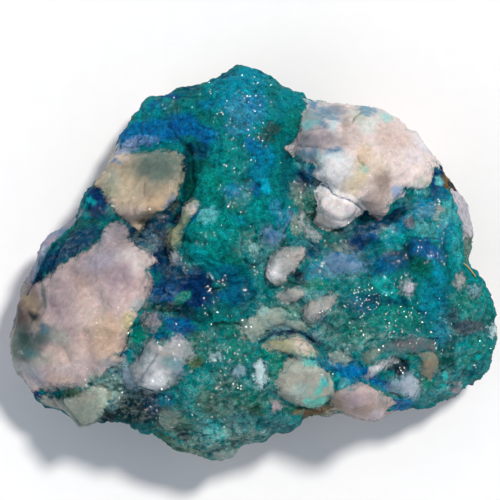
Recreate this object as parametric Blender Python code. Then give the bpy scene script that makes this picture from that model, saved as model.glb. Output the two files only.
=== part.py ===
"""Chrysocolla specimen: a loose stone of milky quartz grown through with blue-green copper minerals.

Blender 4.5, metres, +Z up. The stone lies on its flat broken back with its mineral face up. The origin is on
the ground under the middle of the stone, X runs along its length and +Y points at its peak.
"""

import math

import bmesh
import bpy
import numpy as np
from mathutils import Vector, noise

MM = 0.001
STONE_NAME = "chrysocolla_stone"

# Driving dimensions.
OUTLINE_SCALE = 1.0  # 1 makes the stone 110 mm long
RIM_HEIGHT = 12.5 * MM  # the widest line of the stone, above the ground
RIM_WANDER = 3.5 * MM  # how far that line rises and falls on its way round
CROWN_HEIGHT = 20.0 * MM  # the middle of the face above the rim, before its lumps
BACK_DEPTH = 14.8 * MM  # how far the back bulges below the rim, before the ground plane cuts it off flat
SECTION_POWER = 2.8  # 2 makes a round edge in section, and more makes it squarer
BACK_POWER = 2.3
RAGGED_POWER = 12  # the outline's teeth fade away from the widest line, faster when this is more
LEAN = 0.6  # how far they lean sideways up and down the sides, in radians
GROUND_SIZE = 300 * MM
TRIANGLES = 10300  # what the solid is thinned to before the ground cuts its back

# The stone seen from above, in millimetres, counterclockwise from its peak.
OUTLINE = (
    (-2.5, 44.5), (-6, 43), (-8.5, 41), (-10.5, 40.5), (-14, 39.5), (-17, 39.5), (-19.5, 38), (-21.5, 37),
    (-23.5, 37), (-25.5, 35), (-27.5, 32.5), (-29, 30), (-30.5, 28), (-31, 26), (-32, 24), (-32.5, 22.5),
    (-34, 21), (-35, 18.5), (-36.5, 17.5), (-36.5, 16.5), (-38.5, 14.5), (-39.5, 12), (-41.5, 9.5), (-43.5, 7.5),
    (-46, 5.5), (-48, 3), (-49, -0.5), (-50.5, -3), (-52.5, -7), (-53.5, -11.5), (-55, -15.5), (-55, -19),
    (-54.5, -22.5), (-54.5, -25), (-52, -27.5), (-50, -29), (-49.5, -31), (-47.5, -32), (-44.5, -34),
    (-42, -35), (-40.5, -36.5), (-39.5, -38), (-36.5, -37), (-33, -36), (-30.5, -36.5), (-28.5, -36),
    (-27, -37.5), (-25.5, -38.5), (-24, -39), (-23, -38), (-21, -39.5), (-19, -41.5), (-15, -43),
    (-13, -44), (-8, -44), (-5.5, -44.5), (-3.5, -43), (-2.5, -41.5), (0, -40.5), (2, -40.5), (4, -39),
    (6, -39), (9, -37.5), (10.5, -36.5), (11, -35), (14, -34.5), (17, -35), (19.5, -34), (23, -35), (26, -36),
    (28.5, -36), (30.5, -34.5), (31.5, -33), (35.5, -32.5), (37.5, -33.5), (39.5, -32.5), (42, -31.5), (44.5, -31),
    (46.5, -30), (47, -28.5), (50, -27), (53, -25), (53.5, -22.5), (54, -20), (55, -17.5), (55, -15.5),
    (54.5, -12), (54, -8), (52.5, -5.5), (51, -3.5), (49.5, -1), (48.5, 1), (49, 3.5), (49.5, 7.5), (48.5, 9),
    (48, 12), (46.5, 15), (44.5, 18), (43, 19.5), (42.5, 22), (40, 24), (38.5, 27), (37, 29.5), (35, 30),
    (33, 32), (31, 33), (29.5, 34.5), (26.5, 35), (21, 35.5), (15.5, 36), (13, 36.5), (10.5, 38.5), (8, 39),
    (6, 40), (3.5, 42), (0.5, 43.5),
)

# Raised forms of the face: centre x, y, half length, half width, turn in degrees, height; millimetres.
LUMPS = {
    "left quartz boulder": (-37, -11, 21, 15, 65, 4.5),
    "cream quartz": (-25, 17, 10.5, 8.5, 20, 3.6),
    "dark nodule": (-35, 13, 4.8, 4.0, 0, 2.4),
    "blue flake": (-12.8, 29, 6.8, 4.4, -12, 1.8),
    "upper column": (-4, 30, 9.5, 11, 0, 3.0),
    "middle column": (-6.5, 8, 9.5, 13, 0, 4.6),
    "right quartz block": (25, 22.6, 16.5, 12, -22, 5.4),
    "quartz tooth": (18.6, 12.2, 5.6, 4.8, -15, 3.2),
    "long greenish bar": (-15.6, 7.8, 7.4, 2.3, 58, 1.8),
    "oblong pebble": (7.6, -0.4, 6.2, 3.3, 48, 2.6),
    "oval pebble": (9.0, -7.7, 3.4, 2.1, 10, 1.8),
    "pale cluster": (3.3, -12.7, 6.8, 4.0, 22, 1.7),
    "sugary lump": (14.6, -10.9, 4.8, 3.6, 35, 1.8),
    "wedge pebble": (8.3, -18.8, 6.6, 2.7, -18, 2.4),
    "round pebble": (11.7, -26.3, 6.6, 5.8, 70, 3.0),
    "pink pebble": (23.7, -31.0, 7.6, 4.6, -4, 3.6),
    "grey pebble": (28.2, -22.2, 5.2, 3.2, 35, 1.8),
    "blue-grey pebble": (33.7, -28.1, 4.4, 3.0, -30, 1.8),
    "tan pebble": (39.3, -22.9, 2.8, 3.8, 0, 1.5),
    "lower green lobe": (-6, -33, 17, 9.5, -4, 2.4),
    "grey druse": (-18.9, -22.2, 8.5, 6.0, 40, 2.4),
    "aqua lump": (-9.9, -35.8, 5.0, 4.0, 0, 1.2),
    "right green lobe": (48.5, -9.0, 5.5, 8.0, 0, 2.2),
    "right shoulder": (43.4, 9.5, 5.2, 9.0, 12, 1.8),
    "turquoise knob": (29.8, -5.5, 5.6, 4.2, 20, 1.6),
    "upper turquoise knob": (32.5, 6.2, 4.4, 3.4, -10, 1.2),
    "cobalt lump": (38.6, 1.4, 5.2, 3.6, -35, 1.4),
    "lower right lump": (45.0, -24.5, 5.0, 4.0, 20, 1.3),
}

# Sunk forms of the face, given in the same way, with their depth last.
HOLLOWS = {
    "navy hollow": (-12.5, -9.0, 11.5, 6.0, -6, 2.4),
    "black corner": (-24.5, -32.0, 9.0, 5.0, -8, 2.6),
    "glinting pit": (32.0, -23.6, 3.2, 2.3, -10, 2.6),
    "blue shelf": (-22.0, 29.0, 8.0, 5.0, 8, 1.4),
    "right field": (32.0, -12.0, 12.0, 9.0, 15, 1.4),
}

# Creases between the forms: width, depth, then the points they run through; millimetres.
CREASES = {
    "left rim crease": (2.6, 2.2, ((-30.5, 9), (-40.5, 5.2), (-46.2, 0), (-48.4, -5.2), (-49.8, -12.5))),
    "cream foot": (2.2, 2.4, ((-14.6, 24), (-13.8, 16), (-18.5, 10.5), (-24.5, 8.6), (-28.5, 6.2))),
    "boulder foot": (2.4, 2.6, ((-24, 8.5), (-20.5, 2), (-22, -7), (-24, -13), (-28.5, -19), (-31, -22))),
    "right valley": (3.0, 2.2, ((6.8, 27), (8.4, 18.6), (10.6, 14), (12.6, 7.5), (15.2, 4))),
    "block foot": (
        2.0, 2.6, ((14.2, 9), (19.6, 7.4), (25.4, 10.4), (29.8, 9.2), (34.6, 14), (39.6, 16.4), (41.2, 22)),
    ),
    "tooth split": (0.9, 1.4, ((16.2, 16.6), (20, 14.4), (23.4, 12.2), (24, 10))),
    "wedge foot": (1.3, 1.6, ((1.9, -17.4), (6, -15.8), (10.8, -16), (15, -19.2))),
    "round foot": (1.7, 2.4, ((3.2, -30), (7.1, -31.9), (11.4, -33), (15.5, -33.4))),
    "lower left crease": (1.6, 1.8, ((-38, -29), (-31, -29.4), (-26, -27), (-20, -28.6), (-16.5, -27.5))),
    "right side crease": (1.5, 1.5, ((42.6, 6), (43, -2), (44.2, -9), (43.4, -16))),
}

# Flat breaks of the face: the azimuth that each one slopes down towards, how steep it is, in degrees, and how
# far beyond the outline it would reach the height of the rim, in millimetres.
FACE_BREAKS = {
    "left slope": (184, 36, 5.0),
    "lower left slope": (222, 40, 4.5),
    "upper left slope": (140, 44, 4.0),
    "peak slope": (86, 52, 3.5),
    "top right slope": (58, 56, 3.0),
    "far right slope": (6, 50, 3.5),
    "lower right slope": (-42, 38, 5.0),
    "front slope": (264, 46, 4.0),
}
# The same for the underside, where each one rises towards its azimuth from the ground.
BACK_BREAKS = {
    "left undercut": (170, 40, 3.0),
    "right undercut": (20, 32, 4.0),
    "peak undercut": (92, 42, 3.5),
    "front undercut": (-72, 36, 4.0),
    "lower left undercut": (226, 31, 4.0),
    "lower right undercut": (-34, 46, 3.0),
}
BREAK_HARDNESS = 0.82  # 1 would plane everything beyond a break dead flat
BREAK_GRAIN, BREAK_RELIEF = 12 * MM, 0.7 * MM  # the gentle waves in a break

# The grain of the stone: the size of its forms and their height.
ROUGHNESS = ((15.0 * MM, 1.0 * MM), (8.0 * MM, 0.75 * MM), (4.0 * MM, 0.5 * MM), (1.9 * MM, 0.28 * MM))
RIM_ROUGHNESS = 0.35  # the share of it that is left on the widest line


def outline_table():
    """The outline as angles and radii, and the same radii smoothed, for the inside of the stone."""
    points = np.array(OUTLINE) * MM * OUTLINE_SCALE
    angles = np.arctan2(points[:, 1], points[:, 0])
    order = np.argsort(angles)
    angles, radii = angles[order], np.hypot(points[:, 0], points[:, 1])[order]
    smooth = []
    for angle in angles:
        away = np.abs((angles - angle + math.pi) % (2 * math.pi) - math.pi)
        weight = np.exp(-((away / math.radians(9)) ** 2))
        smooth.append((weight * radii).sum() / weight.sum())
    return angles, radii, np.array(smooth)


def around(angle, angles, values):
    return np.interp(angle, angles, values, period=2 * math.pi)


def cap(distance):
    """A rounded cap with a steep edge: 1 in the middle, and 0 from distance 1 outwards."""
    edge = np.clip((1 - distance) / 0.38, 0, 1)
    return 0.6 * edge**2 * (3 - 2 * edge) + 0.4 * np.clip(1 - distance**2, 0, 1)


def in_ellipse(x, y, form):
    """The distance from a form's centre, where 1 is its edge, and its last value, a height or a depth."""
    centre_x, centre_y, length, width, turn, tall = form
    along, across = math.cos(math.radians(turn)), math.sin(math.radians(turn))
    dx, dy = x - centre_x * MM, y - centre_y * MM
    u = (dx * along + dy * across) / (length * MM)
    v = (dy * along - dx * across) / (width * MM)
    return np.hypot(u, v), tall * MM


def from_line(x, y, points):
    """Distance of each place from a line through the points."""
    nearest = np.full(x.shape, 1e9)
    for (x0, y0), (x1, y1) in zip(points[:-1], points[1:]):
        start, step = np.array((x0, y0)) * MM, np.array((x1 - x0, y1 - y0)) * MM
        share = ((x - start[0]) * step[0] + (y - start[1]) * step[1]) / (step @ step)
        share = np.clip(share, 0, 1)
        away = np.hypot(x - start[0] - share * step[0], y - start[1] - share * step[1])
        nearest = np.minimum(nearest, away)
    return nearest


def crown(x, y):
    """Height of the face above the rim, with its lumps, hollows and creases."""
    height = np.full(x.shape, CROWN_HEIGHT)
    for form in LUMPS.values():
        distance, tall = in_ellipse(x, y, form)
        height += tall * cap(distance)
    for form in HOLLOWS.values():
        distance, deep = in_ellipse(x, y, form)
        height -= deep * cap(distance)
    for width, depth, points in CREASES.values():
        away = from_line(x, y, points) / (width * MM)
        height -= depth * MM * np.exp(-(away**2))
    return height


def bumps(points, size, seed):
    """Smooth noise from about -1 to 1 at each point, with forms of the given size."""
    shift = Vector((seed * 3.1, seed * 7.7, seed * 1.3))
    return np.array([noise.noise(Vector(p / size) + shift) for p in points]) * 1.6


def broken(points, height, breaks, seed):
    """Planes a height over the rim, or a depth below it, down to the flat breaks."""
    for number, (azimuth, steepness, beyond_outline) in enumerate(breaks.values()):
        towards = np.array((math.cos(math.radians(azimuth)), math.sin(math.radians(azimuth))))
        foot = (np.array(OUTLINE) @ towards).max() + beyond_outline
        inward = foot * MM - points[:, :2] @ towards
        limit = inward * math.tan(math.radians(steepness))
        limit = limit + BREAK_RELIEF * bumps(points, BREAK_GRAIN, seed + number)
        beyond = np.clip(height - limit, 0, None)
        height = np.maximum(height - BREAK_HARDNESS * beyond, 0)
    return height


def stone_form(directions):
    """Moves the points of a unit sphere out to the stone, and says how near each is to the widest line."""
    angles, radii, smooth = outline_table()
    flat = np.hypot(directions[:, 0], directions[:, 1])
    rise = directions[:, 2]
    angle = np.arctan2(directions[:, 1], directions[:, 0])
    power = np.where(rise > 0, SECTION_POWER, BACK_POWER)
    reach = (flat**power + np.abs(rise) ** power) ** (1 / power)
    out, up = flat / reach, rise / reach

    ragged = out**RAGGED_POWER
    leaning = angle + LEAN * up * bumps(directions, 0.35, 7)
    edge = np.minimum(around(angle, angles, radii), around(leaning, angles, radii))
    radius = out * (ragged * edge + (1 - ragged) * around(angle, angles, smooth))
    x, y = radius * np.cos(angle), radius * np.sin(angle)
    ring = np.stack([np.cos(angle), np.sin(angle), np.zeros(angle.shape)], axis=1)
    rim = RIM_HEIGHT + RIM_WANDER * out**2 * bumps(ring, 0.75, 4)
    places = np.stack([x, y, rim + up * CROWN_HEIGHT], axis=1)
    face = broken(places, np.clip(up, 0, None) * crown(x, y), FACE_BREAKS, 20)
    back = broken(places, np.clip(-up, 0, None) * BACK_DEPTH, BACK_BREAKS, 40)
    return np.stack([x, y, rim + face - back], axis=1), out


def clear_scene():
    for thing in list(bpy.data.objects):
        bpy.data.objects.remove(thing)


def dense_stone():
    shape = bmesh.new()
    bmesh.ops.create_icosphere(shape, subdivisions=7, radius=1)
    mesh = bpy.data.meshes.new("dense stone")
    shape.to_mesh(mesh)
    shape.free()

    places = np.empty(len(mesh.vertices) * 3)
    mesh.vertices.foreach_get("co", places)
    points, out = stone_form(places.reshape(-1, 3))
    rough = 1 - (1 - RIM_ROUGHNESS) * out**24
    mesh.vertices.foreach_set("co", points.ravel())
    mesh.update()

    normals = np.empty(len(mesh.vertices) * 3)
    mesh.vertices.foreach_get("normal", normals)
    normals = normals.reshape(-1, 3)
    for number, (size, height) in enumerate(ROUGHNESS):
        points = points + normals * (rough * height * bumps(points, size, number + 1))[:, None]
    mesh.vertices.foreach_set("co", points.ravel())
    mesh.update()

    return mesh


def ground_block():
    bpy.ops.mesh.primitive_cube_add(size=GROUND_SIZE, location=(0, 0, -GROUND_SIZE / 2))
    return bpy.context.object


def thinned(mesh):
    """The same mesh with fewer triangles, cut off flat at the ground, with its middle over the origin."""
    dense = bpy.data.objects.new("dense stone", mesh)
    bpy.context.scene.collection.objects.link(dense)
    thin = dense.modifiers.new("thin", "DECIMATE")
    thin.ratio = TRIANGLES / len(mesh.polygons)
    ground = ground_block()
    cut = dense.modifiers.new("flat broken back", "BOOLEAN")
    cut.operation = "DIFFERENCE"
    cut.solver = "EXACT"
    cut.object = ground
    flat_mesh = bpy.data.meshes.new_from_object(dense.evaluated_get(bpy.context.evaluated_depsgraph_get()))
    bpy.data.objects.remove(dense)
    bpy.data.objects.remove(ground)
    bpy.data.meshes.remove(mesh)

    places = np.empty(len(flat_mesh.vertices) * 3)
    flat_mesh.vertices.foreach_get("co", places)
    points = places.reshape(-1, 3)
    points[:, :2] -= (points[:, :2].max(axis=0) + points[:, :2].min(axis=0)) / 2
    flat_mesh.vertices.foreach_set("co", points.ravel())
    flat_mesh.update()
    flat_mesh.name = STONE_NAME
    return flat_mesh


def stone_material():
    material = bpy.data.materials.new("quartz_and_chrysocolla")
    material.use_nodes = True
    shader = material.node_tree.nodes["Principled BSDF"]
    shader.inputs["Base Color"].default_value = (0.10, 0.30, 0.32, 1)
    shader.inputs["Roughness"].default_value = 0.45
    shader.inputs["Metallic"].default_value = 0
    return material


def main():
    clear_scene()
    specimen = bpy.data.collections.new("chrysocolla specimen")
    bpy.context.scene.collection.children.link(specimen)
    stone = bpy.data.objects.new(STONE_NAME, thinned(dense_stone()))
    stone.data.materials.append(stone_material())
    specimen.objects.link(stone)


main()
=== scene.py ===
import math
import random

import bpy
import numpy as np
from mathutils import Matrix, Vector, noise
from mathutils.bvhtree import BVHTree


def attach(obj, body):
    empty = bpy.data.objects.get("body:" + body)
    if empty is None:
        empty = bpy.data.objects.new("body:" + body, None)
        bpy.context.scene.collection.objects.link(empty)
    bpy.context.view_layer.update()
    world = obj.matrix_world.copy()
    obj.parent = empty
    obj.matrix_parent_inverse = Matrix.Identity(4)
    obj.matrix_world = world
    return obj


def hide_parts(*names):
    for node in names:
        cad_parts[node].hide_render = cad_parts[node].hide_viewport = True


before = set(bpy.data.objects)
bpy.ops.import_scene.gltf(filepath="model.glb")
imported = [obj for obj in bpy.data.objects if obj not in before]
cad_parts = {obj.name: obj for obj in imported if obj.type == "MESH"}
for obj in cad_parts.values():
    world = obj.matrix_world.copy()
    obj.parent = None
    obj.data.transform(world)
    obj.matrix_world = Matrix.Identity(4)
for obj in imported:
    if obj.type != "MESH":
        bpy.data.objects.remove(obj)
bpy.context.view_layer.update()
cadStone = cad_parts["chrysocolla_stone"]
mm = 0.001
millimetres = 1000
noise.seed_set(3)  # the noise would otherwise start from the clock
print("frame loaded")

# Colours of the minerals, by the names used below; the lilac is the bluish shade of the stone's left
# side, painted as a colour, and the black serves both for a stain and for painted shade.
palette = {
    "roseGrey": "bea8a6", "oliveGrey": "a09e90", "cream": "b09e86", "pinkWhite": "d6c6c2",
    "palePink": "f4eae6", "pebbleGrey": "a2a09c", "sageGrey": "98a498", "dustyGrey": "a09c98",
    "coolGrey": "a6a8aa", "wedgeCream": "b8b49c", "putty": "aaaa9e", "mauveGrey": "9a8c92",
    "dustyPink": "b4a29e", "greenGrey": "7c8a80", "blueGrey": "7e94a4", "tan": "8c7e68",
    "smoke": "5c6064", "khaki": "8c8c68", "druseGrey": "94999c", "ice": "b8ccd0", "rimGrey": "7e8c88",
    "lavenderBlue": "6282a0", "lilacWhite": "b4aeb8", "paleAqua": "98c4c0", "teal": "017274",
    "seaGreen": "058686", "tealGreen": "007a72", "jade": "027c76", "green": "036c64",
    "emerald": "097c6c", "emeraldGrey": "3a8476", "deepGreen": "025c50", "darkGreen": "065c58",
    "mossTeal": "2c6460", "moss": "3c5a44", "olive": "46583a", "oliveTeal": "50705e",
    "darkMoss": "093c34", "inkGreen": "043834", "blackTeal": "06242c", "ink": "002434",
    "inkBlue": "023a5c", "inkTeal": "023e4e", "navy": "00305e", "night": "06303c",
    "nightBlue": "03405e", "deepBlue": "03508a", "deepDenim": "095c90", "denim": "2c6e9c",
    "denimBright": "32689a", "cobalt": "0a5688", "blueTeal": "037e94", "ocean": "06789c",
    "peacock": "045e7c", "deepTeal": "025a66", "steel": "4a88a4", "steelBlue": "3474a4",
    "steelTeal": "3a7c90", "lavenderSteel": "6486ac", "mistBlue": "8a9cbc", "slateTeal": "3e7478",
    "paleSea": "6cb0b4", "aquaTeal": "2c9a9e", "aquaBright": "4cb8b8", "turquoise": "38a4a4",
    "turquoiseDeep": "098c94", "cyan": "03a4c0", "cyanDeep": "028ca8", "tealMist": "4a989c",
    "seaMist": "789c94", "greyGreen": "64766c", "rustyDark": "36504e", "rosyStain": "6a6870",
    "amber": "685030", "blackStainAndShade": "05181c", "dusk": "3e4c56", "brownRim": "76644c", "lilac": "76829e",
    "mauve": "a4929c", "lavenderGrey": "a8a4b4", "pearl": "d2cac6", "blush": "bc9c8c",
    "peach": "ccb09c", "apricot": "d2b494", "straw": "cabc90", "umber": "544642",
    "stainGreen": "3e5856", "stainBlue": "3a789c", "paleSage": "a6b4a6", "stone": "96908a",
    "sageDark": "56665e", "roseCream": "c8b8ac", "creamLight": "d4c4a8", "greyShade": "8c868c",
    "stainAqua": "6cb0b4", "snow": "e2e4e6", "taupe": "9c8c84", "taupeDark": "86746c",
    "sageWhite": "c6cec8", "lavenderWhite": "d4d2dc", "honey": "c8ac84", "stainMint": "94beb0",
    "blushLight": "e8d6d0", "oliveMist": "9ca07c", "aquaCrust": "60c8b8", "puttyDark": "8e887c",
    "haze": "a2b4aa",
}


def linear(hexColour):
    # the light that a screen gives for each of a colour's three parts
    parts = np.array([int(hexColour[i:i + 2], 16) / 255 for i in (0, 2, 4)])
    return np.where(parts <= 0.04045, parts / 12.92, ((parts + 0.055) / 1.055) ** 2.4)


colours = {name: linear(value) for name, value in palette.items()}

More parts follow.
